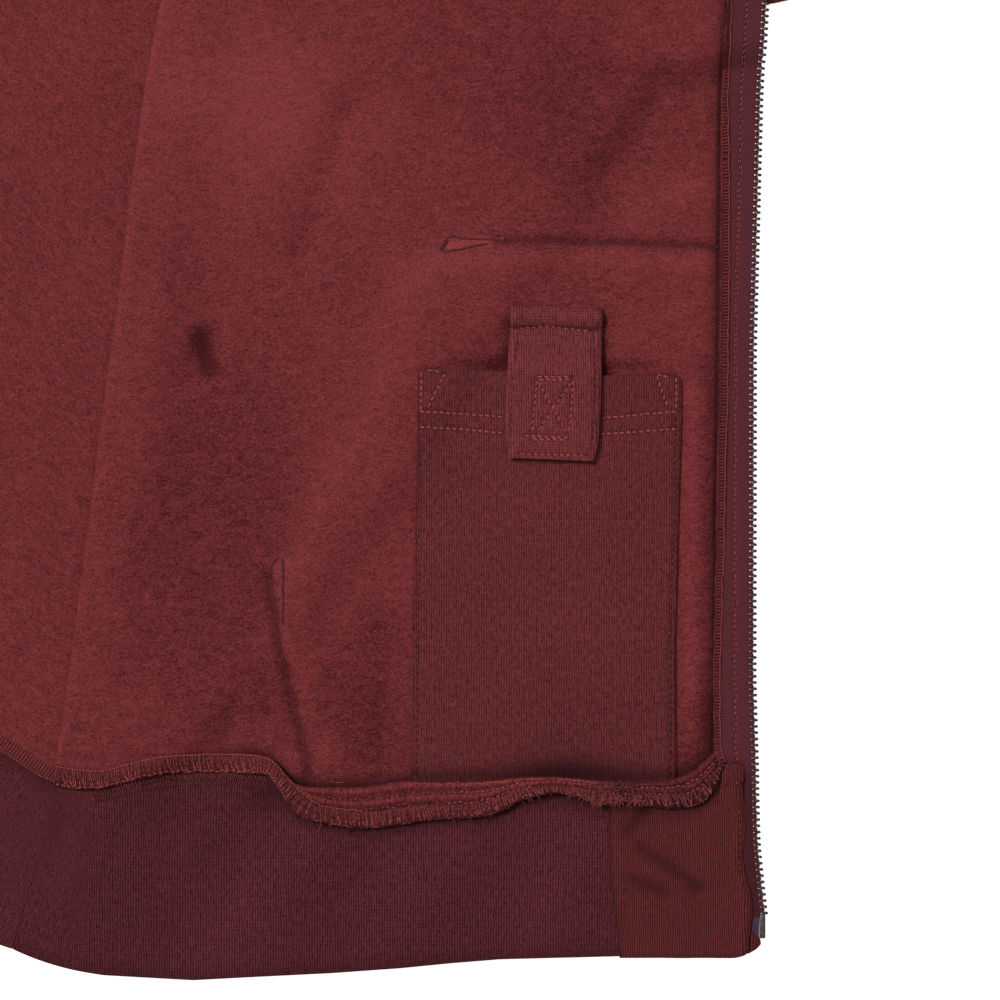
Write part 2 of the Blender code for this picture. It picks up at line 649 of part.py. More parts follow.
def right_front_low(x, y):
    """Underside of the closed front."""
    full_to, run = OVER_TAPE
    over_tape = (TEETH_STAND + TAPE + GAP) * (1 - smooth_step((np.abs(x) - full_to) / run))
    to_band = (RIB - FLEECE + GAP * 2) * (1 - smooth_step((y - HEM_DEPTH) / TO_BAND_RUN))
    return FLEECE + GAP + over_tape + to_band


def over_back(x, y, layers, clear=0.006):
    """Underside of cloth that lies partly on the back, with this many layers beneath it there."""
    return drape(x, y, ((outline_of(back_plan), layers * (FLEECE + GAP), clear, DRAPE_RUN),))


def open_front_low(x, y, back_layers=2, margin=0.0):
    """Underside of the open front, over the back, the layer turned under it, the sleeve and its pocket."""
    clear = DRAPE_CLEAR + margin
    on_back = over_back(x, y, back_layers, clear)
    on_sleeve = drape(x, y, ((sleeve_root_outline(), SLEEVE_TOP_AT_ROOT + GAP, clear, DRAPE_RUN),))
    near_pocket = drape(x, y, ((pocket_outline(), 1.0, clear, DRAPE_RUN),))
    on_pocket = (FLEECE + GAP + over_back(x, y, 1, clear + 0.003)) * near_pocket
    return np.maximum(np.maximum(on_back, on_sleeve), on_pocket)


def open_front_top(x, y, margin=0.0):
    return open_front_low(x, y, 2, margin) + FLEECE


def sleeve_root_outline():
    """The left sleeve where the open front can lie over it."""
    heading = math.radians(SLEEVE_LEFT[2][2])
    reach = 0.15 * np.array((math.cos(heading), math.sin(heading)))
    return np.vstack((np.array(ARMHOLE), np.array(SHOULDER_POINT) + reach, np.array(ARMHOLE[0]) + reach))


def pocket_outline():
    return opened(np.array(KANGAROO))


def open_front():
    """The left front, inside up. Where it turns back under itself, both layers are one rounded solid."""
    def skin(s, t, side):
        across = np.interp(s * FRONT_COLUMNS, FRONT_COLUMN_AT, FRONT_COLUMN_SHARE)
        pattern = open_pattern(across, t)
        to_fold = np.linalg.norm(pattern - open_pattern(np.ones(len(t)), t), axis=1)
        place = opened(pattern)
        x, y = place[:, 0], place[:, 1]
        hidden = smooth_step((side_reach(x, y) - HIDDEN_EDGE) / HIDDEN_RUN)
        low = open_front_low(x, y, 1) * (1 - hidden) + (FLEECE + GAP) * hidden
        ridge = FOLD_CROWN * np.exp(-((to_fold - FOLD_CROWN_AT) / FOLD_CROWN_AT) ** 2)
        high = open_front_low(x, y) + FLEECE + ridge * smooth_step(t / 0.15)
        rounding = np.sqrt(1 - (1 - np.clip(to_fold / FOLD_ROUND, 0.0, 1.0)) ** 2)
        half = (high - low) / 2 * np.maximum(rounding, FOLD_EDGE_SHARE)
        return np.column_stack((place, (low + high) / 2 + half * side))

    sheet("front_left", "fleece", FRONT_COLUMNS, 30, lambda s, t: skin(s, t, 1), lambda s, t: skin(s, t, -1))


def side_reach(x, y):
    """How far a point lies in from the side seam and armhole, towards the centre."""
    edge = side_edge(np.linspace(0, 1, 60))
    return np.interp(y, edge[:, 1], edge[:, 0], right=-1.0) - x


def kangaroo_plan(s, t):
    """Pattern points of the kangaroo pocket: straight at the zip, slanted at the hand opening."""
    (zip_u, base), (_, top), (top_u, _), (bend_u, bend_v), (base_u, _) = KANGAROO
    v = base + (top - base) * t
    side = np.interp(v, (base, bend_v, top), (base_u, bend_u, top_u))
    return np.column_stack((zip_u + (side - zip_u) * s, v))


def rectangle(u_range, v_range):
    def point(s, t):
        return np.column_stack((u_range[0] + (u_range[1] - u_range[0]) * s,
                                v_range[0] + (v_range[1] - v_range[0]) * t))
    return point


def kangaroo_pocket(name, plan, low):
    sheet("kangaroo_pocket_" + name, "face_knit", 10, 18, *laid(plan, low, FLEECE))


def zip_tape(name, plan, panel_level, band_level):
    """Tape sewn along a front, with a raised edge where the teeth stand. Below the hem seam the tape is
    inside the band's end, so only its edge is there."""
    heights = np.array(TAPE_ROWS)
    inner = np.where(heights > HEM_DEPTH + GAP, TAPE_INNER_EDGE, ZIP_STAND - GAP)

    def skin(s, t, side):
        row = t * (len(heights) - 1)
        v = np.interp(row, range(len(heights)), heights)
        inner_u = np.interp(row, range(len(heights)), inner)
        column = s * 4
        u = np.interp(column, (0, 1, 2, 3, 4), (1.0, 0.5, 0.02, 0.0, 0.0)) * inner_u
        u = np.where(column > 3.5, -TEETH_REACH, u)
        place = plan(np.column_stack((u, v)))
        raised = TEETH_STAND * (column > 2.5)
        base = panel_level(place[:, 0], place[:, 1])
        into_band = 1 - smooth_step((v - TAPE_SINKS_FROM) / (HEM_DEPTH - 0.0005 - TAPE_SINKS_FROM))
        base = base + (band_level - base) * into_band
        return np.column_stack((place, base + (TAPE + raised if side > 0 else -raised)))

    return sheet("zip_tape_" + name, "tape", 4, len(heights) - 1, lambda s, t: skin(s, t, 1),
                 lambda s, t: skin(s, t, -1))


def hem_band(name, finish, plan, low, across):
    upper, lower = laid(plan, low, RIB)
    return sheet("hem_" + name, finish, across, 3, upper, lower)


def straight_band(start, end):
    """Part of the closed right band, between two distances from the zip."""
    def point(s, t):
        base = start + (end - start) * s
        v = HEM_DEPTH * t
        past_end_piece = smooth_step((base - END_PIECE) / (HEM_SEAM_HALF - END_PIECE))
        u = base - (HEM_SEAM_HALF - HEM_EDGE_HALF) * past_end_piece * (1 - t)
        v = v + (hem_seam(u) - HEM_DEPTH) * t
        return np.column_stack((-u, v))
    return point


def seam_allowance():
    """Serged edge of the hem seam on the open front."""
    def skin(s, t, rise):
        u = ALLOWANCE_U[0] + (ALLOWANCE_U[1] - ALLOWANCE_U[0]) * t
        up = smooth_step((u - FLIP_U[0]) / (FLIP_U[1] - FLIP_U[0]))
        wave = RIPPLE_DEPTH * np.sin(u / RIPPLE) * np.sin(u / RIPPLE_GROUP)
        down_v, up_v = ALLOWANCE_V_DOWN + wave * (1 - s), ALLOWANCE_V_UP + wave * s
        v = down_v + (up_v - down_v) * up + ALLOWANCE_WIDTH * s
        place = opened(np.column_stack((u, v)))
        towards_seam = smooth_step((v - ALLOWANCE_V_DOWN) / ALLOWANCE_WIDTH)
        on_band = RIB + GAP + FLEECE / 2 * towards_seam
        on_front = np.maximum(open_front_top(place[:, 0], place[:, 1], TAPE_MARGIN) + GAP, on_band)
        low = on_band + (on_front - on_band) * smooth_step(up * 3)
        return np.column_stack((place, low + rise + RIPPLE_LIFT * (1 + np.sin(u / RIPPLE))))

    sheet("hem_seam_allowance", "fleece", 3, 44, lambda s, t: skin(s, t, SEAM_EDGE),
          lambda s, t: skin(s, t, 0.0))


# ---------------------------------------------------------------- zip hardware

def block(name, finish, low, high, bevel=0.0):
    low, high = np.array(low), np.array(high)
    bpy.ops.mesh.primitive_cube_add(size=1, location=(low + high) / 2)
    bpy.context.object.scale = high - low
    bpy.ops.object.transform_apply(scale=True)
    made = take(name, finish)
    if bevel:
        edge = made.modifiers.new("Edge", "BEVEL")
        edge.width = bevel
        edge.segments = 2
    return made


def join(made, *others):
    """Adds the other solids to the first and removes them."""
    for other in others:
        union = made.modifiers.new("Join", "BOOLEAN")
        union.operation = "UNION"
        union.object = other
        bpy.context.view_layer.objects.active = made
        for modifier in list(other.modifiers):
            with bpy.context.temp_override(object=other, active_object=other):
                bpy.ops.object.modifier_apply(modifier=modifier.name)
        with bpy.context.temp_override(object=made, active_object=made):
            for modifier in list(made.modifiers):
                bpy.ops.object.modifier_apply(modifier=modifier.name)
        bpy.data.objects.remove(other)
    return made


def slider(chain_low):
    """Two plates round the chain, a post between them at the upper end and a bridge for the pull tab."""
    left, right = CHAIN_CENTRE - SLIDER_WIDTH / 2, CHAIN_CENTRE + SLIDER_WIDTH / 2
    top_of_chain = chain_low + TEETH_THICKNESS
    end = SLIDER_LOW + SLIDER_LENGTH
    lower_face, upper_face = chain_low - GAP - PLATE, top_of_chain + GAP + PLATE
    made = block("zip_slider", "zip_metal", (left, SLIDER_LOW, upper_face - PLATE),
                 (right, end, upper_face), PLATE_EDGE)
    lower = block("lower_plate", "zip_metal", (left, SLIDER_LOW, lower_face),
                  (right, end, lower_face + PLATE), PLATE_EDGE)
    post_x, post_y = TEETH_REACH + GAP * 2, end - POST_LENGTH
    post = block("post", "zip_metal", (post_x, post_y, lower_face + PLATE / 2),
                 (post_x + POST_WIDTH, post_y + POST_LENGTH - PLATE_EDGE * 2, upper_face - PLATE / 2))
    middle_y = (SLIDER_LOW + end) / 2
    arch_low, arch_high = upper_face - PLATE / 2, upper_face + BRIDGE_HEIGHT
    near, far = CHAIN_CENTRE - BRIDGE_WIDTH / 2, CHAIN_CENTRE + BRIDGE_WIDTH / 2
    start, stop = middle_y - BRIDGE_LENGTH / 2, middle_y + BRIDGE_LENGTH / 2
    feet = [block("foot", "zip_metal", (near, y, arch_low), (far, y + FOOT, arch_high))
            for y in (start, stop - FOOT)]
    span = block("span", "zip_metal", (near + FIT, start + FIT, arch_high - SPAN),
                 (far - FIT, stop - FIT, arch_high - FIT))
    join(made, lower, post, *feet, span)
    return upper_face, middle_y


def pull_tab(upper_face, bar_y):
    """A plate with an eye at its upper end, whose round bar lies under the slider's bridge. Its origin is on
    the bar's axis, about which it swings."""
    bar_z = upper_face + GAP + PULL_BAR / 2
    low, high = max(bar_z - PULL_PLATE / 2, upper_face + GAP / 2), bar_z + PULL_PLATE / 2
    left, right = CHAIN_CENTRE - PULL_WIDTH / 2, CHAIN_CENTRE + PULL_WIDTH / 2
    plate_end = bar_y - BRIDGE_LENGTH / 2 - PULL_EYE_CLEAR
    plate = block("pull_tab", "zip_metal", (left, bar_y - PULL_LENGTH, low), (right, plate_end, high),
                  PLATE_EDGE)
    arm_start, arm_end = plate_end - PULL_BAR / 2, bar_y + PULL_BAR / 6
    arms = [block("arm", "zip_metal", (x, arm_start, low), (x + PULL_ARM, arm_end, high))
            for x in (left + FIT, right - PULL_ARM - FIT)]
    bpy.ops.mesh.primitive_cylinder_add(vertices=12, radius=PULL_BAR / 2, depth=PULL_WIDTH - 0.0004,
                                        location=(CHAIN_CENTRE, bar_y, bar_z), rotation=(0, math.pi / 2, 0))
    bar = take("bar", "zip_metal")
    bpy.ops.object.transform_apply(rotation=True)
    made = join(plate, *arms, bar)
    pivot = Vector((CHAIN_CENTRE, bar_y, bar_z))
    made.data.transform(Matrix.Translation(-pivot))
    made.location = pivot


def main():
    for old in list(bpy.data.objects):
        bpy.data.objects.remove(old)
    home = bpy.data.collections.new("zip_up_hoodie")
    bpy.context.scene.collection.children.link(home)
    upper_band = RIB + GAP

    def on_open_front(margin, rise):
        return lambda x, y: open_front_top(x, y, margin) + rise

    def level(height):
        return lambda x, y: np.full(len(x), height)

    sheet("back", "fleece", 24, 26, *laid(back_plan, level(0.0), FLEECE))
    sheet("front_right", "face_knit", 18, 26,
          *laid(lambda s, t: mirrored(front_plan(s, t)), right_front_low, FLEECE))
    open_front()

    kangaroo_pocket("right", lambda s, t: mirrored(kangaroo_plan(s, t)),
                    lambda x, y: right_front_low(x, y) + FLEECE + GAP * 2)
    kangaroo_pocket("left", lambda s, t: opened(kangaroo_plan(s, t)), lambda x, y: over_back(x, y, 1))
    phone_pocket = rectangle(PHONE_POCKET_U, PHONE_POCKET_V)
    sheet("phone_pocket", "pocket_knit", 8, 12,
          *laid(lambda s, t: opened(phone_pocket(s, t)), on_open_front(POCKET_MARGIN, GAP), POCKET_KNIT))
    tab = rectangle(TAB_U, TAB_V)
    sheet("phone_pocket_tab", "pocket_knit", 4, 6,
          *laid(lambda s, t: opened(tab(s, t)), on_open_front(TAB_MARGIN, POCKET_KNIT + GAP * 2), TAB_CLOTH))

    left_end = rectangle((ZIP_STAND, END_PIECE - GAP / 2), (0, HEM_DEPTH))
    hem_band("rib_back", "rib", band_plan(-HEM_SEAM_HALF - HINGE[0], -GAP / 2), level(0.0), 24)
    hem_band("rib_left", "rib", band_plan(GAP / 2, HINGE[0] - END_PIECE - GAP / 2), level(0.0), 16)
    hem_band("end_left", "hem_knit", lambda s, t: opened(left_end(s, t)), level(0.0), 4)
    hem_band("rib_right", "rib", straight_band(END_PIECE + GAP / 2, HEM_SEAM_HALF), level(upper_band), 14)
    hem_band("end_right", "hem_knit", straight_band(ZIP_STAND, END_PIECE - GAP / 2), level(upper_band), 4)
    seam_allowance()

    sleeve("right", SLEEVE_RIGHT, mirrored)
    sleeve("left", SLEEVE_LEFT, lambda points: points)
    hood_panel("right", HOOD_RIGHT, right_hood_neck, -1, ())
    over_shoulder = (SHOULDER_WEDGE, FLEECE + GAP * 4, WEDGE_CLEAR, WEDGE_RUN)
    hood_panel("left", HOOD_LEFT, left_hood_neck, 1, (over_shoulder,))

    chain_low = upper_band + PLATE + GAP
    zip_tape("right", mirrored, lambda x, y: right_front_low(x, y) - TAPE - GAP, chain_low + TEETH_STAND)
    zip_tape("left", opened, on_open_front(TAPE_MARGIN, GAP), LEFT_TAPE_IN_BAND + TEETH_STAND)
    upper_face, middle_y = slider(chain_low)
    pull_tab(upper_face, middle_y)
    box_top = chain_low + TEETH_THICKNESS + BOX_STAND
    block("zip_box", "zip_metal", (CHAIN_CENTRE - BOX_WIDTH / 2, BOX_LOW, chain_low - BOX_STAND),
          (CHAIN_CENTRE + BOX_WIDTH / 2, SLIDER_LOW - GAP, box_top), BOX_EDGE)
    pin = rectangle(PIN_U, (BOX_LOW, SLIDER_LOW))
    sheet("zip_pin", "zip_metal", 1, 1, *laid(lambda s, t: opened(pin(s, t)), level(PIN_LOW), PIN_THICKNESS))

    garment = bpy.data.objects.new("garment_origin", None)
    home.objects.link(garment)
    garment.location.y = -ORIGIN_HEIGHT
    for piece in home.objects:
        if piece != garment:
            piece.parent = garment


main()
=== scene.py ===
import json
import math

import bmesh
import bpy
import numpy as np
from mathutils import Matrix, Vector

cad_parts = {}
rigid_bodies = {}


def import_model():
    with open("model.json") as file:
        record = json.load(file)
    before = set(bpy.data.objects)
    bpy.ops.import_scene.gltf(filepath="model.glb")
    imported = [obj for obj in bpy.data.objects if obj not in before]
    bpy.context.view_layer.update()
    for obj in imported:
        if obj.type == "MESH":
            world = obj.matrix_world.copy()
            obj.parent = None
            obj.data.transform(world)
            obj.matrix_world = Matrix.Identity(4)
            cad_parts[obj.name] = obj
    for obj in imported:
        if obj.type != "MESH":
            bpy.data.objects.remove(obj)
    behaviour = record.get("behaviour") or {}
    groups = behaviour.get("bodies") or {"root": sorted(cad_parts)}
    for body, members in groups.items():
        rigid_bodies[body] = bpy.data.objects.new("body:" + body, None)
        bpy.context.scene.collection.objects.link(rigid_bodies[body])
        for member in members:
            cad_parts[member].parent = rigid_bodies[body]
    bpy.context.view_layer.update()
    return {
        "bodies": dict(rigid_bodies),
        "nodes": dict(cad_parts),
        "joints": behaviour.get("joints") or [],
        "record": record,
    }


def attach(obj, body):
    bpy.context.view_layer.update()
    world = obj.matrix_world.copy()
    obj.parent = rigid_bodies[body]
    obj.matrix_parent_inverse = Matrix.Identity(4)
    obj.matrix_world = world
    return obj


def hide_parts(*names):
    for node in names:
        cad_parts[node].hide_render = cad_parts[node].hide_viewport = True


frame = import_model()
mm = 0.001
# the pattern that the solids were cut from; u runs in from the zip edge, v up from the hem
body = {
    "originHeight": 0.300, "chestHalf": 0.300, "hemDepth": 0.070, "hemSeamHalf": 0.2805, "hemEdgeHalf": 0.272,
    "underarm": 0.450, "centreFrontNeck": 0.620, "neckPoint": (0.095, 0.690), "shoulderPoint": (0.237, 0.655),
    "zipStand": 0.003, "endPiece": 0.054, "turnRadius": 0.040, "hemRiseShare": 0.1,
    "fleece": 0.002, "rib": 0.0032, "cuff": 0.0028, "gap": 0.0003, "tape": 0.0008, "teethStand": 0.0006,
    "sideSeam": ((0.070, 0.2805), (0.110, 0.291), (0.160, 0.299), (0.240, 0.300), (0.450, 0.300)),
    "armhole": ((0.300, 0.450), (0.281, 0.466), (0.264, 0.500), (0.251, 0.550), (0.242, 0.605), (0.237, 0.655)),
    "frontNeckline": ((0.0, 0.620), (0.030, 0.624), (0.060, 0.640), (0.082, 0.662), (0.095, 0.690)),
    "backNeckline": ((0.0, 0.668), (0.035, 0.670), (0.065, 0.677), (0.095, 0.690)),
    "openFold": ((0.070, 0.2805), (0.150, 0.270), (0.250, 0.257), (0.384, 0.238), (0.480, 0.213),
                 (0.560, 0.182), (0.640, 0.133), (0.690, 0.095)),
    "kangaroo": ((0.005, 0.0705), (0.005, 0.287), (0.125, 0.287), (0.193, 0.163), (0.179, 0.0705)),
}
fleece, rib, gap, tapeWall = body["fleece"], body["rib"], body["gap"], body["tape"]
hemDepth, hemSeamHalf, zipStand = body["hemDepth"], body["hemSeamHalf"], body["zipStand"]
turnRadius, hemRise, endWidth = body["turnRadius"], body["hemRiseShare"], body["endPiece"]
hinge = (body["chestHalf"], 0.0)
openAngle = 2 * math.atan((body["chestHalf"] - body["neckPoint"][0]) / body["neckPoint"][1])
turnCos, turnSin = math.cos(openAngle), math.sin(openAngle)


def smoothStep(k):
    k = np.clip(k, 0.0, 1.0)
    return k * k * (3 - 2 * k)


def ridge(distance, width):
    # a soft ridge's height at this distance from its crest
    return np.exp(-(distance / width) ** 2)


def joined(*columns):
    return np.column_stack(columns)


def distances(points):
    # from the first point to each, along a polyline
    return np.concatenate(([0.0], np.cumsum(np.linalg.norm(np.diff(points, axis=0), axis=1))))


def betweenRows(rows, slopes, low, k, span=1):
    # a smooth curve between neighbouring rows, at share k of the way
    return (rows[low] * (1 + 2 * k) * (1 - k) ** 2 + slopes[low] * span * k * (1 - k) ** 2
            + rows[low + 1] * k * k * (3 - 2 * k) + slopes[low + 1] * span * k * k * (k - 1))


def readCurve(points, share):
    # points of a smooth curve through a table's rows
    points = np.array(points, float)
    stations = distances(points)
    stations = stations / stations[-1]
    share = np.clip(share, 0.0, 1.0)
    low = np.clip(np.searchsorted(stations, share, side="right") - 1, 0, len(points) - 2)
    span = stations[low + 1] - stations[low]
    k = ((share - stations[low]) / span)[:, None]
    return betweenRows(points, np.gradient(points, stations, axis=0), low, k, span[:, None])


def smoothRows(rows, share):
    # a curve through evenly spaced rows of any width
    rows = np.array(rows, float)
    at = np.clip(share, 0, 1) * (len(rows) - 1)
    low = np.clip(at.astype(int), 0, len(rows) - 2)
    return betweenRows(rows, np.gradient(rows, axis=0), low, (at - low)[:, None])


def readTable(rows, at, column=1):
    rows = np.array(rows, float)
    return np.interp(at, rows[:, 0], rows[:, column])


def softTable(rows, reach):
    # a table read smoothly, with its corners rounded over this reach
    fine = np.linspace(rows[0][0], rows[-1][0], 400)
    count = max(int(reach / (fine[1] - fine[0])), 1)
    kernel = np.hanning(count + 2)
    values = np.pad(readTable(rows, fine), count, mode="edge")
    smooth = np.convolve(values, kernel / kernel.sum(), mode="same")[count:-count]
    return lambda at: np.interp(at, fine, smooth)


def patch(left, right, bottom, top):
    # a plan surface between four edge curves
    def point(s, t):
        a, b = s[:, None], t[:, None]
        zero, one = np.zeros(1), np.ones(1)
        corners = ((1 - a) * (1 - b) * left(zero) + a * (1 - b) * right(zero)
                   + (1 - a) * b * left(one) + a * b * right(one))
        return (1 - a) * left(t) + a * right(t) + (1 - b) * bottom(s) + b * top(s) - corners
    return point


def nearLines(x, y, lines):
    # distance to the nearest of some polylines
    near = np.full(len(x), np.inf)
    for line in lines:
        for (ax, ay), (bx, by) in zip(line[:-1], line[1:]):
            dx, dy = bx - ax, by - ay
            k = np.clip(((x - ax) * dx + (y - ay) * dy) / (dx * dx + dy * dy), 0, 1)
            near = np.minimum(near, np.hypot(x - ax - k * dx, y - ay - k * dy))
    return near


def outside(outline, x, y):
    # how far points lie outside a closed outline
    corners = np.array(outline, float)
    inside = np.zeros(len(x), bool)
    for (ax, ay), (bx, by) in zip(corners, np.roll(corners, -1, axis=0)):
        if by != ay:
            crosses = (ay > y) != (by > y)
            inside ^= crosses & (x < ax + (y - ay) / (by - ay) * (bx - ax))
    return np.where(inside, 0.0, nearLines(x, y, (np.vstack((corners, corners[:1])),)))


def drape(x, y, supports):
    # underside of cloth laid over supports of (outline, height, clear, run)
    height = np.zeros(len(x))
    for outline, top, clear, run in supports:
        height = np.maximum(height, top * (1 - smoothStep((outside(outline, x, y) - clear) / run)))
    return height


def mirrored(points):
    return points * np.array((-1.0,) + (1.0,) * (points.shape[1] - 1))


def opened(points):
    # where pattern points of the left front lie once it is turned open
    points = np.asarray(points, float)
    beyond, height = body["chestHalf"] - points[:, 0], points[:, 1]
    return joined(hinge[0] + beyond * turnCos - height * turnSin,
                  hinge[1] + beyond * turnSin + height * turnCos)


def hemSeam(distance):
    start = hinge[0] - (turnRadius + hemDepth) * math.tan(openAngle / 2)
    into = np.clip(distance - start, 0.0, turnRadius * 0.99)
    return hemDepth + turnRadius - np.sqrt(turnRadius ** 2 - into ** 2)


def sideEdge(t):
    seamShare = 0.64
    seamY = hemDepth + gap + (body["underarm"] - hemDepth - gap) * np.clip(t / seamShare, 0, 1)
    seam = joined(readTable(body["sideSeam"], seamY), seamY)
    arm = readCurve(body["armhole"], (t - seamShare) / (1 - seamShare))
    edge = np.where((t < seamShare)[:, None], seam, arm)
    edge[:, 1] += (hemSeam(edge[:, 0]) - hemDepth) * (1 - smoothStep(t / hemRise))
    return edge


def hemEdge(start, end):
    def point(s):
        x = start + (end - start) * s
        return joined(x, hemSeam(x) + gap)
    return point


def shoulderLine(share):
    start, end = np.array(body["neckPoint"]), np.array(body["shoulderPoint"])
    return start + np.asarray(share)[:, None] * (end - start)


def backTop(s):
    neckShare = 0.4
    k = np.abs(2 * s - 1)
    neck = readCurve(body["backNeckline"], k / neckShare)
    points = np.where((k < neckShare)[:, None], neck, shoulderLine((k - neckShare) / (1 - neckShare)))
    points[:, 0] *= np.where(s < 0.5, -1, 1)
    return points


def frontNeck(share):
    neck = readCurve(body["frontNeckline"], share)
    neck[:, 0] = np.maximum(neck[:, 0], zipStand * (1 - np.clip(share, 0, 1)))
    return neck


def frontTop(s):
    neckShare = 0.45
    shoulder = shoulderLine((s - neckShare) / (1 - neckShare))
    return np.where((s < neckShare)[:, None], frontNeck(s / neckShare), shoulder)


def zipEdge(t):
    return joined(np.full(len(t), zipStand), hemDepth + gap + (body["centreFrontNeck"] - hemDepth - gap) * t)


def foldEdge(t):
    fold = readCurve([(u, v) for v, u in body["openFold"]], t)
    rise = (hemSeam(hemSeamHalf) - hemDepth) * (1 - smoothStep(t / hemRise))
    return joined(fold[:, 0], fold[:, 1] + rise + gap * (1 - t))


frontHem = hemEdge(zipStand, hemSeamHalf)
backHem = hemEdge(-hemSeamHalf, hemSeamHalf)
backPlan = patch(lambda t: mirrored(sideEdge(t)), sideEdge, backHem, backTop)
frontPlan = patch(zipEdge, sideEdge, frontHem, frontTop)
openPattern = patch(zipEdge, foldEdge, frontHem, frontNeck)


def outlineOf(plan, count=14):
    k = np.linspace(0, 1, count, endpoint=False)
    zero, one = np.zeros(count), np.ones(count)
    return np.vstack((plan(k, zero), plan(one, k), plan(1 - k, one), plan(zero, 1 - k)))


def softNoise(x, y, size, seed):
    # smooth random heights from -1 to 1, this far apart
    random = np.random.default_rng(seed)
    field = random.uniform(-1, 1, (64, 64))
    gx, gy = x / size + 31.7, y / size + 17.3
    ix, iy = np.floor(gx).astype(int), np.floor(gy).astype(int)
    kx, ky = smoothStep(gx - ix), smoothStep(gy - iy)
    def at(i, j):
        return field[i % 64, j % 64]
    return ((at(ix, iy) * (1 - kx) + at(ix + 1, iy) * kx) * (1 - ky)
            + (at(ix, iy + 1) * (1 - kx) + at(ix + 1, iy + 1) * kx) * ky)


def creases(x, y, rows):
    # uneven soft ridges and troughs, each (x, y, x, y, half width, height, bow)
    height = np.zeros(len(x))
    for number, (ax, ay, bx, by, width, rise, bow) in enumerate(rows):
        length = math.hypot(bx - ax, by - ay)
        dx, dy = (bx - ax) / length, (by - ay) / length
        along = ((x - ax) * dx + (y - ay) * dy) / length
        wander = 0.25 * width * softNoise(along * length, np.full(len(x), number * 0.37), 0.03, number)
        across = (y - ay) * dx - (x - ax) * dy - bow * 4 * along * (1 - along) - wander
        spread = width * (0.65 + 0.7 * np.clip(along, 0, 1))
        taper = smoothStep(along / 0.3) * smoothStep((1 - along) / 0.35)
        height += rise * taper * ridge(across, spread)
    return height


def addNode(tree, kind, inputs=None, **settings):
    made = tree.nodes.new(kind)
    for name, value in settings.items():
        setattr(made, name, value)
    for slot, value in (inputs or {}).items():
        if isinstance(value, bpy.types.NodeSocket):
            tree.links.new(value, made.inputs[slot])
        else:
            made.inputs[slot].default_value = value
    return made


def calc(tree, operation, *values):
    return addNode(tree, "ShaderNodeMath", dict(enumerate(values)), operation=operation).outputs[0]


def weighted(tree, *shares):
    # the sum of values, each times its weight
    parts = [calc(tree, "MULTIPLY", value, weight) for value, weight in shares]
    total = parts[0]
    for part in parts[1:]:
        total = calc(tree, "ADD", total, part)
    return total


def startMaterial(name, roughness, metallic=0.0, sheen=0.0, sheenTint=(1, 1, 1)):
    made = bpy.data.materials.new(name)
    made.use_nodes = True
    shader = made.node_tree.nodes["Principled BSDF"]
    values = {"Roughness": roughness, "Metallic": metallic}
    if metallic == 0:
        values["Specular IOR Level"] = 0.06
    if sheen:
        values.update({"Sheen Weight": sheen, "Sheen Roughness": 0.5, "Sheen Tint": (*sheenTint, 1.0)})
    for slot, value in values.items():
        shader.inputs[slot].default_value = value
    return made, made.node_tree, shader


def finishMaterial(tree, shader, colour, height, strength, distance):
    bump = addNode(tree, "ShaderNodeBump", {"Height": height, "Strength": strength, "Distance": distance})
    tree.links.new(colour, shader.inputs["Base Color"])
    tree.links.new(bump.outputs[0], shader.inputs["Normal"])


def clothCoordinates(tree, turn=0.0, scale=(1, 1, 1)):
    cloth = addNode(tree, "ShaderNodeUVMap", uv_map="cloth").outputs[0]
    return addNode(tree, "ShaderNodeMapping", {"Vector": cloth, "Rotation": (0, 0, turn), "Scale": scale}).outputs[0]


def noiseOf(tree, vector, size, detail=2.0, roughness=0.5, distortion=0.0):
    return addNode(tree, "ShaderNodeTexNoise", {"Vector": vector, "Scale": 1 / size, "Detail": detail,
                                                "Roughness": roughness, "Distortion": distortion}).outputs[0]


def mixColours(tree, factor, dark, light):
    inputs = {"Factor": factor, "A": (*dark, 1), "B": (*light, 1)}
    return addNode(tree, "ShaderNodeMix", inputs, data_type="RGBA").outputs[2]


def stretchRange(tree, value, low, high, newLow=0.0, newHigh=1.0):
    return addNode(tree, "ShaderNodeMapRange", {0: value, 1: low, 2: high, 3: newLow, 4: newHigh}).outputs[0]


def wavesOf(tree, turn):
    return stretchRange(tree, calc(tree, "COSINE", turn), -1, 1)


def clothColour(tree, factor, look):
    # painted shade: the cloth's colour is darkened where stitches, seams, folds and gaps would shade it
    paintedShade = addNode(tree, "ShaderNodeAttribute", attribute_name="paintedShade").outputs["Fac"]
    colour = mixColours(tree, factor, look["dark"], look["light"])
    darken = {"Factor": calc(tree, "MULTIPLY", paintedShade, 0.85), "A": colour, "B": (0.012, 0.003, 0.004, 1)}
    return addNode(tree, "ShaderNodeMix", darken, data_type="RGBA").outputs[2]


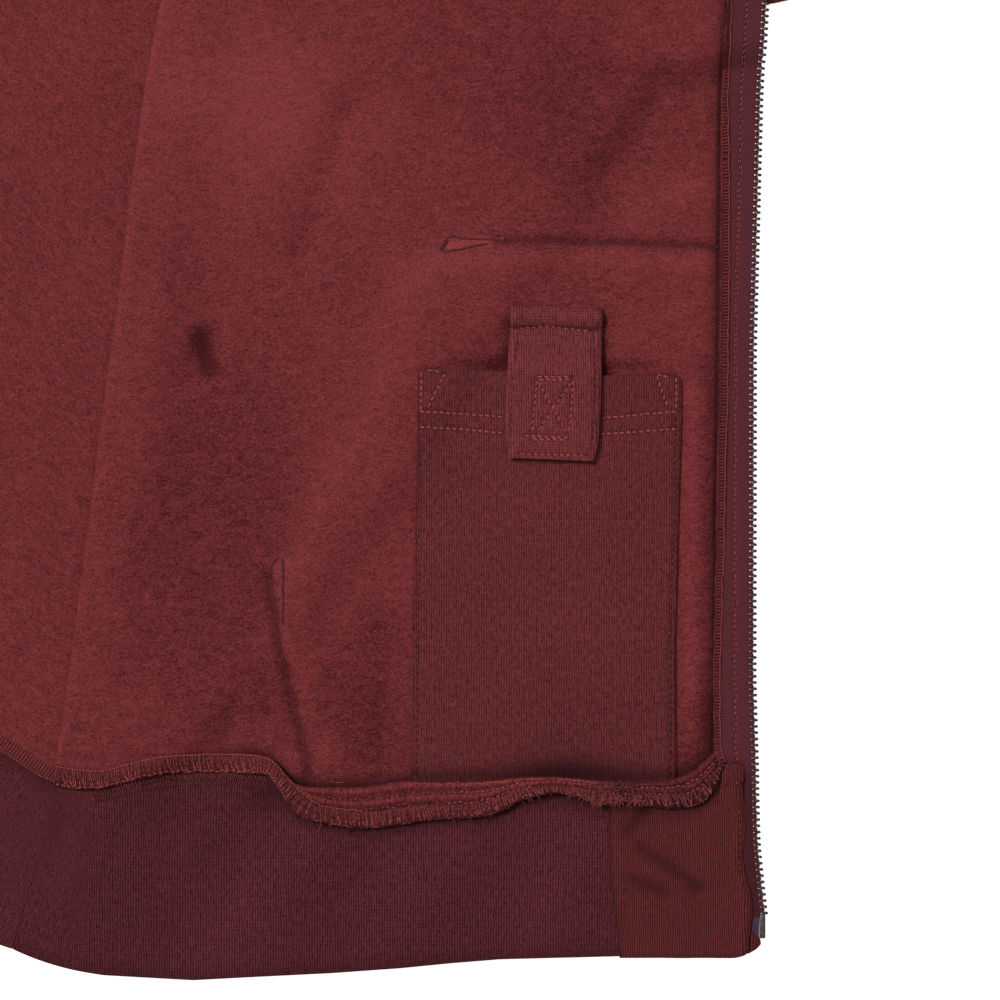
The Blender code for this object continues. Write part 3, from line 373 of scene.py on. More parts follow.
def fleeceMaterial(name, look):
    made, tree, shader = startMaterial(name, look["roughness"], sheen=look["sheen"], sheenTint=look["sheenTint"])
    shadeStreaks = clothCoordinates(tree, look["slant"], (1.0, look["stretch"], 1.0))
    plain = clothCoordinates(tree)
    fine = noiseOf(tree, shadeStreaks, look["speck"], 3, 0.6, 0.4)
    lint = noiseOf(tree, plain, look["speck"] * 0.5, 2, 0.6)
    clumps = noiseOf(tree, shadeStreaks, look["clump"], 2, 0.5, 0.8)
    broad = noiseOf(tree, plain, look["cloud"], 2, 0.5)
    mixed = weighted(tree, (fine, 0.32), (lint, 0.42), (clumps, 0.20), (broad, 0.06))
    # the nap's random tone plus painted light and shade, read from an attribute
    napToneAndPaintedLight = addNode(tree, "ShaderNodeAttribute", attribute_name="napToneAndPaintedLight").outputs["Fac"]
    factor = calc(tree, "ADD", stretchRange(tree, mixed, look["low"], look["high"]), napToneAndPaintedLight)
    height = calc(tree, "ADD", fine, clumps)
    finishMaterial(tree, shader, clothColour(tree, factor, look), height, look["bump"], look["nap"])
    return made


def knitMaterial(name, look):
    # upright wales with small stitches up each, which shift by half a stitch between wales
    made, tree, shader = startMaterial(name, look["roughness"], sheen=look["sheen"], sheenTint=look["sheenTint"])
    plain = clothCoordinates(tree)
    split = addNode(tree, "ShaderNodeSeparateXYZ", {0: plain})
    wander = noiseOf(tree, plain, look["pitch"] * 5, 2)
    u = calc(tree, "ADD", split.outputs[0], calc(tree, "MULTIPLY", wander, look["pitch"] * look["wander"]))
    waleTurn = calc(tree, "MULTIPLY", u, 2 * math.pi / look["pitch"])
    halfTurn = calc(tree, "SINE", calc(tree, "MULTIPLY", waleTurn, 0.5))
    lean = calc(tree, "MULTIPLY", calc(tree, "ABSOLUTE", halfTurn), 1.9)
    upTurn = calc(tree, "MULTIPLY", split.outputs[1], 2 * math.pi / look["course"])
    grain = noiseOf(tree, plain, look["pitch"] * 0.8, 1, 0.5)
    dashes = noiseOf(tree, clothCoordinates(tree, 0.0, (1.0, 0.4, 1.0)), look["pitch"] * 1.2, 2, 0.5)
    broad = noiseOf(tree, plain, look["cloud"], 2, 0.5)
    mixed = weighted(tree, (wavesOf(tree, waleTurn), look["waleShare"]),
                     (wavesOf(tree, calc(tree, "ADD", upTurn, lean)), look["courseShare"]),
                     (calc(tree, "ADD", grain, dashes), look["grainShare"]), (broad, look["cloudShare"]))
    factor = stretchRange(tree, mixed, look["low"], look["high"])
    finishMaterial(tree, shader, clothColour(tree, factor, look), mixed, look["bump"], look["relief"])
    return made


def threadMaterial(name, look):
    made, tree, shader = startMaterial(name, look["roughness"], sheen=0.3, sheenTint=(1.0, 0.5, 0.5))
    place = addNode(tree, "ShaderNodeTexCoord").outputs["Object"]
    twist = noiseOf(tree, place, look["twist"], 2, 0.6)
    colour = mixColours(tree, stretchRange(tree, twist, 0.3, 0.7), look["dark"], look["light"])
    finishMaterial(tree, shader, colour, twist, 0.5, 0.0002)
    return made


def tapeMaterial(name, look):
    # twill that leans one way beside the teeth and the other way past the ridge
    made, tree, shader = startMaterial(name, look["roughness"])
    plain = clothCoordinates(tree)
    split = addNode(tree, "ShaderNodeSeparateXYZ", {0: plain})
    away = calc(tree, "ABSOLUTE", calc(tree, "SUBTRACT", split.outputs[0], look["ridge"]))
    slant = calc(tree, "ADD", calc(tree, "MULTIPLY", away, look["lean"]), split.outputs[1])
    twill = wavesOf(tree, calc(tree, "MULTIPLY", slant, 2 * math.pi / look["pitch"]))
    mixed = weighted(tree, (twill, 0.95), (noiseOf(tree, plain, 0.6 * mm, 2, 0.6), 0.7))
    colour = clothColour(tree, stretchRange(tree, mixed, 0.44, 1.22), look)
    finishMaterial(tree, shader, colour, mixed, 0.5, 0.0003)
    return made


def metalMaterial(name, look):
    made, tree, shader = startMaterial(name, look["roughness"], 1.0)
    place = addNode(tree, "ShaderNodeTexCoord").outputs["Object"]
    scuffs = noiseOf(tree, place, look["scuff"], 3, 0.6)
    dull = stretchRange(tree, scuffs, 0.3, 0.7, look["roughness"] - 0.08, look["roughness"] + 0.12)
    tree.links.new(mixColours(tree, stretchRange(tree, scuffs, 0.3, 0.7), look["dark"], look["light"]),
                   shader.inputs["Base Color"])
    tree.links.new(dull, shader.inputs["Roughness"])
    return made


def colours(dark, light, **look):
    return {"dark": dark, "light": light, **look}


napLook = colours((0.052, 0.0078, 0.009), (0.232, 0.0388, 0.042), low=0.365, high=0.635, speck=1.5 * mm,
                  clump=4.2 * mm, cloud=45 * mm, slant=0.35, stretch=1.5, roughness=0.95, sheen=0.04,
                  sheenTint=(1.0, 0.25, 0.27), bump=0.6, nap=0.5 * mm)
faceLook = colours((0.046, 0.0078, 0.009), (0.19, 0.032, 0.0365), pitch=1.15 * mm, course=0.95 * mm, wander=0.7,
                   waleShare=0.26, courseShare=0.12, grainShare=0.52, cloudShare=0.10, low=0.52, high=1.0,
                   cloud=60 * mm, roughness=0.92, sheen=0.04, sheenTint=(1.0, 0.25, 0.27), bump=0.35, relief=0.3 * mm)
pocketLook = dict(faceLook, pitch=1.0 * mm, course=0.93 * mm, dark=(0.034, 0.0066, 0.0074),
                  light=(0.178, 0.0335, 0.0365))
tabLook = dict(pocketLook, pitch=0.95 * mm, dark=(0.044, 0.0084, 0.0092), light=(0.208, 0.040, 0.043))
ribLook = dict(faceLook, pitch=1.04 * mm, course=0.87 * mm, dark=(0.012, 0.0026, 0.0036),
               light=(0.141, 0.0275, 0.035), waleShare=0.30, courseShare=0.22, grainShare=0.46, relief=0.5 * mm,
               bump=0.45)
sergedLook = dict(faceLook, pitch=1.07 * mm, course=1.6 * mm, dark=(0.030, 0.0055, 0.0065),
                  light=(0.190, 0.031, 0.034), waleShare=0.07, grainShare=0.64, bump=0.12)
endLook = dict(faceLook, pitch=0.90 * mm, course=0.8 * mm, dark=(0.024, 0.0046, 0.005),
               light=(0.140, 0.025, 0.0264), waleShare=0.42, grainShare=0.34, low=0.40, high=0.92)
tapeLook = colours((0.008, 0.0026, 0.0036), (0.175, 0.04, 0.05), ridge=9.0 * mm, lean=1.05, pitch=1.05 * mm,
                   roughness=0.85)
sergeLook = colours((0.085, 0.0125, 0.014), (0.27, 0.046, 0.048), twist=0.6 * mm, roughness=0.8)
# painted highlight: the legs' metal is lighter than the heads' metal
litLegLook = colours((0.14, 0.143, 0.152), (0.44, 0.45, 0.48), scuff=0.9 * mm, roughness=0.30)

brushedFleece = fleeceMaterial("brushedFleece", napLook)
faceKnit = knitMaterial("faceKnit", faceLook)
pocketKnit = knitMaterial("pocketKnit", pocketLook)
tabKnit = knitMaterial("tabKnit", tabLook)
ribKnit = knitMaterial("ribKnit", ribLook)
endKnit = knitMaterial("endKnit", endLook)
sergedKnit = knitMaterial("sergedKnit", sergedLook)
tapeTwill = tapeMaterial("tapeTwill", tapeLook)
seamThread = threadMaterial("seamThread", colours((0.155, 0.0215, 0.0225), (0.42, 0.07, 0.068), twist=0.5 * mm,
                                                  roughness=0.7))
sergeThread = threadMaterial("sergeThread", sergeLook)
coverThread = threadMaterial("coverThread", dict(sergeLook, dark=(0.04, 0.0075, 0.0095),
                                                 light=(0.185, 0.033, 0.039)))
needleHoleShade = threadMaterial("needleHoleShade", colours((0.014, 0.003, 0.0036), (0.028, 0.0055, 0.0062), twist=0.6 * mm,
                                                  roughness=0.95))
coreCord = threadMaterial("coreCord", colours((0.034, 0.006, 0.008), (0.14, 0.02, 0.023), twist=0.8 * mm,
                                              roughness=0.8))
creaseShade = threadMaterial("creaseShade", colours((0.04, 0.007, 0.008), (0.11, 0.018, 0.02), twist=1.1 * mm,
                                                    roughness=0.95))
tapeEndFilm = threadMaterial("tapeEndFilm", colours((0.03, 0.016, 0.028), (0.06, 0.036, 0.056), twist=1.0 * mm,
                                                    roughness=0.35))
toothMetal = metalMaterial("toothMetal", colours((0.028, 0.028, 0.03), (0.085, 0.083, 0.085), scuff=0.9 * mm,
                                                 roughness=0.36))
# a lit copy and a shaded copy of the legs' metal, for painted highlight and shade
litLegMetal = metalMaterial("litLegMetal", litLegLook)
shadedLegMetal = metalMaterial("shadedLegMetal", dict(litLegLook, dark=(0.055, 0.056, 0.06), light=(0.19, 0.195, 0.205)))
pinMetal = metalMaterial("pinMetal", colours((0.085, 0.076, 0.068), (0.17, 0.155, 0.14), scuff=2.5 * mm,
                                             roughness=0.42))
print("finishes made")


def takePiece(name, *finishes):
    piece = bpy.context.object
    piece.name = piece.data.name = name
    piece.data.materials.clear()
    for finish in finishes:
        piece.data.materials.append(finish)
    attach(piece, "garment")
    return piece


def startPiece(name, finishes, addPrimitive, **settings):
    bpy.ops.object.select_all(action="DESELECT")
    addPrimitive(**settings)
    return takePiece(name, *finishes)


def placePoints(piece, points):
    points = np.array(points, float)
    points[:, 1] -= body["originHeight"]
    piece.data.vertices.foreach_set("co", np.ascontiguousarray(points, np.float32).ravel())
    piece.data.update()


def readVectors(things, name):
    values = np.empty(len(things) * 3, np.float32)
    things.foreach_get(name, values)
    return values.reshape(-1, 3).astype(float)


def faceUp(piece, share):
    # turns all faces over when those above this share of the heights look down
    heights = readVectors(piece.data.polygons, "center")[:, 2]
    top = heights >= np.quantile(heights, share)
    if readVectors(piece.data.polygons, "normal")[top, 2].mean() < 0:
        piece.data.flip_normals()


def applyModifier(piece, kind, **settings):
    bpy.context.view_layer.objects.active = piece
    step = piece.modifiers.new(kind.lower(), kind)
    for name, value in settings.items():
        setattr(step, name, value)
    bpy.ops.object.modifier_apply(modifier=step.name)


def addWall(piece, thickness):
    applyModifier(piece, "SOLIDIFY", thickness=thickness, offset=0.0, use_quality_normals=True,
                  material_offset=1 if len(piece.data.materials) > 1 else 0)
    bpy.ops.object.shade_smooth_by_angle(angle=math.radians(50))


def loopVertices(piece):
    loops = np.empty(len(piece.data.loops), np.int32)
    piece.data.loops.foreach_get("vertex_index", loops)
    return loops


def markCloth(piece, flat):
    # the cloth's own flat coordinates in metres, for its pattern
    layer = piece.data.uv_layers[0] if piece.data.uv_layers else piece.data.uv_layers.new()
    layer.name = "cloth"
    layer.data.foreach_set("uv", np.ascontiguousarray(flat, np.float32).ravel())


def clothSheet(name, finishes, across, along, place, thickness):
    # a grid whose shares s and t are placed by place(s, t), which gives points, flat coordinates and tones: painted
    # shade, then nap tone with painted light and shade
    piece = startPiece(name, finishes, bpy.ops.mesh.primitive_grid_add, x_subdivisions=across,
                       y_subdivisions=along, size=1)
    unit = readVectors(piece.data.vertices, "co")
    points, cloth, *tones = place(unit[:, 0] + 0.5, unit[:, 1] + 0.5)
    placePoints(piece, points)
    markCloth(piece, cloth[loopVertices(piece)])
    for tone, values in zip(("paintedShade", "napToneAndPaintedLight"), tones):
        attribute = piece.data.attributes.new(tone, "FLOAT", "POINT")
        attribute.data.foreach_set("value", np.ascontiguousarray(values, np.float32))
    faceUp(piece, 0.6)
    addWall(piece, thickness)
    return piece


def clothTube(name, finishes, around, along, place, thickness, girth, length):
    piece = startPiece(name, finishes, bpy.ops.mesh.primitive_cylinder_add, vertices=around, radius=1, depth=1,
                       end_fill_type="NOTHING")
    form = bmesh.new()
    form.from_mesh(piece.data)
    lengthways = [e for e in form.edges if abs(e.verts[0].co.z - e.verts[1].co.z) > 0.5]
    bmesh.ops.subdivide_edges(form, edges=lengthways, cuts=along - 1, use_grid_fill=True)
    form.to_mesh(piece.data)
    form.free()
    unit = readVectors(piece.data.vertices, "co")
    a = np.arctan2(unit[:, 1], unit[:, 0]) / (2 * math.pi) % 1.0
    a = np.where(a > 1 - 1e-5, 0.0, a)
    t = unit[:, 2] + 0.5
    placePoints(piece, place(a, t))
    loops = loopVertices(piece)
    loopA = a[loops].reshape(-1, 4)
    wraps = (loopA.max(axis=1) - loopA.min(axis=1) > 0.5)[:, None]
    loopA = np.where(wraps & (loopA < 0.5), loopA + 1, loopA).ravel()
    markCloth(piece, joined(loopA * girth, t[loops] * length))
    faceUp(piece, 0.7)
    addWall(piece, thickness)
    return piece


def dress(piece, node):
    # the piece takes the place of a CAD node
    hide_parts(node)
    return piece


def takeForm():
    # the points and faces of the active object, which is then removed
    form = bpy.context.object
    points = np.array([v.co for v in form.data.vertices])
    faces = [tuple(p.vertices) for p in form.data.polygons]
    bpy.data.objects.remove(form)
    return points, faces


def makeStitchForm(segments=6, rings=4):
    # one thread stitch along X, half above the cloth
    bpy.ops.object.select_all(action="DESELECT")
    bpy.ops.mesh.primitive_uv_sphere_add(segments=segments, ring_count=rings, radius=0.5, rotation=(0, math.pi / 2, 0))
    bpy.ops.object.transform_apply(rotation=True)
    return takeForm()


def makeBar():
    # a small bar with softened edges, drawn along X
    bpy.ops.object.select_all(action="DESELECT")
    bpy.ops.mesh.primitive_cube_add(size=1)
    bpy.ops.object.mode_set(mode="EDIT")
    bpy.ops.mesh.bevel(offset=0.2, segments=1, affect="EDGES")
    bpy.ops.object.mode_set(mode="OBJECT")
    return takeForm()


stitchForm, lintForm, barForm = makeStitchForm(), makeStitchForm(4, 3), makeBar()


def repeatForm(name, finish, form, starts, ends, width, height, lift=0.0, lengthen=1.0):
    # copies of one small form, each laid from a start to an end
    starts, ends = np.array(starts, float), np.array(ends, float)
    points, faces = form
    run = ends - starts
    length = np.maximum(np.linalg.norm(run, axis=1), 1e-9)[:, None]
    forward = run / length
    side = np.cross(np.array((0, 0, 1.0)), forward)
    side /= np.maximum(np.linalg.norm(side, axis=1), 1e-9)[:, None]
    up = np.cross(forward, side)
    middle = (starts + ends) / 2 + up * lift
    placed = (middle[:, None, :] + points[None, :, 0, None] * (forward * length * lengthen)[:, None, :]
              + points[None, :, 1, None] * side[:, None, :] * np.reshape(width, (-1, 1, 1))
              + points[None, :, 2, None] * up[:, None, :] * np.reshape(height, (-1, 1, 1)))
    placed = placed.reshape(-1, 3)
    mesh = bpy.data.meshes.new(name)
    mesh.from_pydata(placed.tolist(), [], [tuple(i + copy * len(points) for i in face)
                                           for copy in range(len(starts)) for face in faces])
    made = bpy.data.objects.new(name, mesh)
    bpy.context.scene.collection.objects.link(made)
    bpy.ops.object.select_all(action="DESELECT")
    bpy.context.view_layer.objects.active = made
    made.select_set(True)
    piece = takePiece(name, finish)
    placePoints(piece, placed)
    bpy.ops.object.shade_smooth()
    return piece


def spaced(line, pitch):
    # points this far apart along a polyline
    line = np.array(line, float)
    at = distances(line)
    stations = np.arange(0, at[-1], pitch)
    return joined(*[np.interp(stations, at, column) for column in line.T])


def stitchRows(name, lines, surface, look, toPlan, random):
    # rows of stitches on a surface: bright thread with a dark form at each end, painted shade in the needle hole
    starts, ends = [], []
    for line in lines:
        points = spaced(line, look["pitch"])
        if len(points) < 2:
            continue
        step = np.diff(points, axis=0)
        wobble = random.normal(0, look["wobble"], (len(step), 2))
        lean = joined(-step[:, 1], step[:, 0]) * look["slant"]
        starts.append(points[:-1] + step * (0.5 - look["share"] / 2) + wobble - lean)
        ends.append(points[:-1] + step * (0.5 + look["share"] / 2) + wobble + lean
                    + random.normal(0, look["wobble"] / 2, (len(step), 2)))
    starts, ends = np.vstack(starts), np.vstack(ends)
    def raised(points):
        return joined(toPlan(points), surface(points))
    repeatForm(name, look.get("finish", seamThread), stitchForm, raised(starts), raised(ends), look["width"],
               look["height"], look["lift"])
    if look["holeShades"]:
        gapStarts, gapEnds = ends[:-1], starts[1:]
        near = np.linalg.norm(gapEnds - gapStarts, axis=1) < look["pitch"]
        repeatForm(name + "Holes", needleHoleShade, stitchForm, raised(gapStarts[near]), raised(gapEnds[near]),
                   look["width"] * 0.95, look["height"] * 0.5, 0.05 * mm - look["lift"] * 0.5, 1.15)


def rightFrontLow(x, y):
    overTape = (body["teethStand"] + tapeWall + gap) * (1 - smoothStep((np.abs(x) - 0.020) / 0.025))
    toBand = (rib - fleece + gap * 2) * (1 - smoothStep((y - hemDepth) / 0.045))
    return fleece + gap + overTape + toBand


backOutline = outlineOf(backPlan)
pocketOutline = opened(np.array(body["kangaroo"]))
rootReach = 0.15 * np.array((math.cos(math.radians(43)), math.sin(math.radians(43))))
sleeveRootOutline = np.vstack((np.array(body["armhole"]), np.array(body["shoulderPoint"]) + rootReach,
                               np.array(body["armhole"][0]) + rootReach))


def overBack(x, y, layers, clear=0.006):
    return drape(x, y, ((backOutline, layers * (fleece + gap), clear, 0.016),))


def openFrontLow(x, y, backLayers=2):
    clear, run = 0.017, 0.016
    onBack = overBack(x, y, backLayers, clear)
    onSleeve = drape(x, y, ((sleeveRootOutline, 0.0065, clear, run),))
    nearPocket = drape(x, y, ((pocketOutline, 1.0, clear, run),))
    onPocket = (fleece + gap + overBack(x, y, 1, clear + 0.003)) * nearPocket
    return np.maximum(np.maximum(onBack, onSleeve), onPocket)


leftFront = {
    "columns": 162, "rows": 252, "frameTop": 0.395, "frameRows": 205,
    "foldRound": 0.006, "foldCrown": 0.0022,
    # (u, v, u, v, half width, height, bow)
    "creases": (
        (0.158, 0.352, 0.186, 0.275, 0.009, -0.0009, 0.004), (0.214, 0.258, 0.230, 0.228, 0.006, -0.0022, 0.001),
        (0.150, 0.385, 0.205, 0.300, 0.016, 0.0012, 0.005), (0.010, 0.318, 0.062, 0.290, 0.009, 0.0008, 0.002),
        (0.010, 0.480, 0.110, 0.430, 0.014, 0.002, 0.006), (0.020, 0.560, 0.090, 0.500, 0.012, 0.0016, -0.004),
        (0.100, 0.500, 0.190, 0.470, 0.012, 0.0018, 0.005), (0.130, 0.286, 0.194, 0.168, 0.010, 0.0008, 0.004),
        (0.194, 0.165, 0.181, 0.080, 0.010, 0.0008, 0.003), (0.020, 0.278, 0.120, 0.282, 0.007, 0.0007, 0.001),
    ),
}
# where the outer pocket's stitching shows through (u, v)
throughTop = ((0.0155, 0.2862), (0.04, 0.2874), (0.0548, 0.2884), (0.0658, 0.2882), (0.0768, 0.2884), (0.0844, 0.289),
              (0.0906, 0.2884), (0.099, 0.2888), (0.1045, 0.2892))
throughSide = ((0.1954, 0.1556), (0.1949, 0.153), (0.1932, 0.144), (0.192, 0.1368), (0.1913, 0.1268), (0.1892, 0.118),
               (0.186, 0.1037), (0.183, 0.0922), (0.1798, 0.0764))
# painted shade: dark strips along its pressed edges, where their creases fall in shade: (width in mm, points)
creaseShadeStrips = (
    (0.75, throughTop[:-1]),
    (0.50, ((0.099, 0.2888), (0.1112, 0.2892), (0.118, 0.2896), (0.1213, 0.2905), (0.1247, 0.2892))),
    (0.60, ((0.108, 0.2872), (0.1112, 0.2867), (0.1168, 0.2856), (0.1248, 0.2842), (0.1268, 0.2842))),
    (1.10, ((0.1242, 0.2888), (0.1266, 0.2846))), (1.30, ((0.1016, 0.2882), (0.1044, 0.2882))), (0.80, throughSide),
    (0.55, ((0.1954, 0.1556), (0.1938, 0.1592), (0.1906, 0.1628))),
    (0.55, ((0.1899, 0.1613), (0.1895, 0.1548), (0.1897, 0.149), (0.1895, 0.1418), (0.1899, 0.1354))),
)


# height of the hem seam above the hem, by distance from the zip edge
seamHeight = softTable(((0.000, 0.0796), (0.0165, 0.0796), (0.0205, 0.079), (0.0248, 0.076), (0.0308, 0.0732),
                        (0.0368, 0.0718), (0.05, 0.071), (0.0628, 0.0716), (0.0752, 0.0728), (0.0908, 0.0732),
                        (0.1028, 0.0722), (0.12, 0.0716), (0.1384, 0.0712), (0.1508, 0.0694), (0.1688, 0.0692),
                        (0.1812, 0.069), (0.1868, 0.069), (0.1904, 0.0702), (0.194, 0.073), (0.198, 0.0756),
                        (0.2048, 0.0762), (0.238, 0.076), (0.25, 0.0735), (0.262, 0.0702), (0.266, 0.07), (0.3, 0.07)),
                       0.004)
# how far the zip line swings from the panel's edge, and where the facing's overlocked edge lies, by height
zipBow = softTable(((0.000, -0.004), (0.0188, -0.0016), (0.0448, 0.0012), (0.066, 0.0018), (0.0968, 0.0028),
                    (0.112, 0.0032), (0.2448, 0.003), (0.3468, 0.0004), (0.3848, -0.0016), (0.430, -0.0026),
                    (0.620, -0.0008)), 0.02)
facingEdge = softTable(((0.000, 0.006), (0.069, 0.008), (0.0775, 0.014), (0.0812, 0.0158), (0.085, 0.017),
                        (0.0968, 0.017), (0.112, 0.0172), (0.2448, 0.0146), (0.3468, 0.014), (0.3848, 0.0118),
                        (0.430, 0.0112), (0.620, 0.0128)), 0.004)


def frontSeams(u, v):
    # distances from the stitching that shows through, the facing's groove and the hem seam
    return nearLines(u, v, (throughTop, throughSide)), u - facingEdge(v) - 0.0006, v - seamHeight(u)


def frontRelief(u, v):
    lines, groove, seam = frontSeams(u, v)
    height = creases(u, v, leftFront["creases"])
    inside = smoothStep((u - 0.012) / 0.03) * smoothStep((v - 0.072) / 0.03)
    height += 0.00035 * softNoise(u, v, 0.035, 5) * inside + 0.00015 * softNoise(u, v, 0.014, 6) * inside
    height -= 0.0006 * ridge(lines, 0.0018)
    height -= 0.001 * ridge(groove, 0.0014)
    return height - 0.0014 * ridge(seam, 0.0035) * smoothStep((0.205 - u) / 0.01)


# the allowance's upper side at the turn
foldLine = ((0.130, 0.072), (0.18, 0.0694), (0.1836, 0.0706), (0.1864, 0.0722), (0.1896, 0.0758), (0.1932, 0.0798),
            (0.1972, 0.082), (0.2048, 0.0828), (0.238, 0.0824))


# painted shade along the through-lines, in the facing's groove, under the hem seam and above the allowance's fold
def frontPaintedShade(u, v):
    lines, groove, seam = frontSeams(u, v)
    shade = np.exp(-np.where(seam > 0, seam / 0.0048, seam / 0.001) ** 2) * smoothStep((0.205 - u) / 0.01)
    above = v - readTable(foldLine, u)
    turn = smoothStep((u - 0.176) / 0.006) * smoothStep((0.225 - u) / 0.02)
    shade += 1.1 * ridge(above, 0.0022 + 0.0014 * turn) * (above > -0.001) * (0.25 + 0.75 * turn)
    return np.clip(0.30 * ridge(lines, 0.0012) + 0.85 * ridge(groove, 0.001)
                   + 0.30 * ridge(groove - 0.001, 0.004) + 0.70 * shade, 0, 1)


# painted light and shade: strokes where the nap is painted lighter or darker: (amount, reach, points)
paintedLightStrokes = (
    (0.26, 0.036, ((0.2068, 0.350), (0.193, 0.330))),
    (-0.17, 0.0055, ((0.1628, 0.3488), (0.1768, 0.3128), (0.1848, 0.2848))),
    (-0.60, 0.0045, ((0.223, 0.25), (0.2195, 0.238))), (-0.13, 0.034, ((0.09, 0.365), (0.074, 0.33))),
    (-0.28, 0.010, ((0.026, 0.074), (0.02, 0.098))), (0.14, 0.008, ((0.01, 0.318), (0.0548, 0.2928))),
    (0.15, 0.006, ((0.1228, 0.282), (0.0228, 0.28))),
    (0.20, 0.0085, ((0.1308, 0.28), (0.1408, 0.2648), (0.1548, 0.2248), (0.1708, 0.1968), (0.1828, 0.1648))),
    (0.20, 0.0065, ((0.1862, 0.156), (0.1852, 0.13), (0.18, 0.1), (0.175, 0.086))),
    (-0.15, 0.036, ((0.21, 0.17), (0.214, 0.12))), (-0.10, 0.030, ((0.212, 0.225), (0.212, 0.195))),
    (-0.20, 0.010, ((0.152, 0.136), (0.155, 0.084))), (0.12, 0.0035, ((0.0264, 0.232), (0.0264, 0.09))),
    (-0.14, 0.0035, ((0.02, 0.24), (0.02, 0.09))), (-0.30, 0.0034, ((0.12, 0.2404), (0.0995, 0.2382))),
    (-0.30, 0.003, ((0.0618, 0.238), (0.044, 0.2392))), (-0.34, 0.0024, ((0.1006, 0.238), (0.1002, 0.256))),
    (-0.34, 0.0024, ((0.0612, 0.238), (0.0618, 0.26))), (-0.30, 0.003, ((0.106, 0.239), (0.0995, 0.243))),
    (-0.13, 0.020, ((0.175, 0.1), (0.15, 0.09))), (0.40, 0.0016, ((0.124, 0.2868), (0.108, 0.288))),
    (-0.30, 0.0022, throughTop), (-0.30, 0.0024, throughSide),
    (0.22, 0.0026, ((0.1925, 0.159), (0.1908, 0.136), (0.188, 0.123))), (-0.10, 0.012, ((0.006, 0.09), (0.006, 0.22))),
)


# random nap tone, plus painted light and shade from the strokes
def napToneAndPaintedLightAt(u, v):
    napToneAndPaintedLight = 0.03 * softNoise(u, v, 0.012, 15) + 0.03 * softNoise(u, v, 0.006, 16)
    for amount, reach, stroke in paintedLightStrokes:
        napToneAndPaintedLight += amount * ridge(nearLines(u, v, (stroke,)), reach)
    return napToneAndPaintedLight


def frontTopHeight(points):
    # upper face of the open front at pattern points
    u, v = points[:, 0], points[:, 1]
    place = opened(points)
    return np.maximum(openFrontLow(place[:, 0], place[:, 1]) + fleece + frontRelief(u, v), fleece)


def placeLeftFront(s, t):
    topShare, rollShare = 0.80, 0.86
    frame = leftFront["frameRows"] / leftFront["rows"]
    reach = (leftFront["frameTop"] - hemDepth) / (body["centreFrontNeck"] - hemDepth)
    t = np.where(t < frame, t / frame * reach, reach + (t - frame) / (1 - frame) * (1 - reach))
    one = np.ones(len(t))
    foldPattern = openPattern(one, t)
    fold = opened(foldPattern)
    beside = opened(openPattern(one * 0.93, t))
    inward = beside - fold
    inward /= np.linalg.norm(inward, axis=1)[:, None]
    side = sideEdge(t)
    hiddenWidth = np.linalg.norm(side - fold, axis=1)
    roundness = np.minimum(leftFront["foldRound"], hiddenWidth * 0.3) * smoothStep(t / 0.06)
    patternWidth = np.linalg.norm(foldPattern - openPattern(0 * one, t), axis=1)
    topEnd = 1 - roundness / patternWidth
    # over the top, from the zip to the roll
    k = np.clip(s / topShare, 0, 1)
    pattern = openPattern(k * topEnd, t)
    lift = seamHeight(pattern[:, 0]) - hemDepth
    pattern[:, 1] += lift * (1 - smoothStep((pattern[:, 1] - hemDepth) / 0.04))
    place = opened(pattern)
    toFold = np.linalg.norm(place - fold, axis=1)
    crown = leftFront["foldCrown"] * ridge(toFold - 0.014, 0.014) * smoothStep(t / 0.15)
    top = openFrontLow(place[:, 0], place[:, 1]) + fleece / 2 + frontRelief(pattern[:, 0], pattern[:, 1]) + crown
    # round the fold
    turn = np.clip((s - topShare) / (rollShare - topShare), 0, 1)
    angle = turn * math.pi
    rollEnd = fold + inward * roundness[:, None]
    highAt = opened(openPattern(topEnd, t))
    high = openFrontLow(highAt[:, 0], highAt[:, 1]) + fleece / 2 + leftFront["foldCrown"] * 0.7 * smoothStep(t / 0.15)
    low = fleece + gap + fleece / 2
    rollPlace = rollEnd - inward * (roundness * np.sin(angle))[:, None]
    rollHeight = (high + low) / 2 + (high - low) / 2 * np.cos(angle)
    # back beneath, to the side seam and armhole
    under = np.clip((s - rollShare) / (1 - rollShare), 0, 1)
    underPlace = rollEnd + (side - rollEnd) * under[:, None]
    onTop, onRoll = s <= topShare, (s > topShare) & (s <= rollShare)
    place = np.where(onTop[:, None], place, np.where(onRoll[:, None], rollPlace, underPlace))
    blendTop = smoothStep((toFold - roundness * 1.2) / 0.012)
    top = top * blendTop + (high + (top - high) * 0.5) * (1 - blendTop)
    height = np.where(onTop, top, np.where(onRoll, rollHeight, low))
    height = np.maximum(height, fleece / 2 + 0.1 * mm)
    beyond = np.where(onTop, 0, roundness * angle + under * hiddenWidth)
    cloth = joined(pattern[:, 0] + beyond, pattern[:, 1])
    paintedShade = np.where(onTop, frontPaintedShade(pattern[:, 0], pattern[:, 1]), 0.0)
    return joined(place, height), cloth, paintedShade, napToneAndPaintedLightAt(pattern[:, 0], pattern[:, 1])


front = dress(clothSheet("leftFrontCloth", (brushedFleece, faceKnit), leftFront["columns"], leftFront["rows"],
                         placeLeftFront, fleece), "front_left")
print("left front made")


phonePocket = {
    "left": ((0.07, 0.1382), (0.126, 0.1376), (0.224, 0.1355), (0.2376, 0.1354)),
    "right": ((0.07, 0.0326), (0.126, 0.0329), (0.220, 0.0304), (0.238, 0.0305)),
    "top": ((0.030, 0.2356), (0.048, 0.2352), (0.063, 0.2345), (0.080, 0.2335), (0.100, 0.2362), (0.118, 0.2374),
            (0.1376, 0.2384)),
    "bottomV": 0.0706, "thickness": 1.4 * mm, "columns": 100, "rows": 150, "corner": 0.003,
}
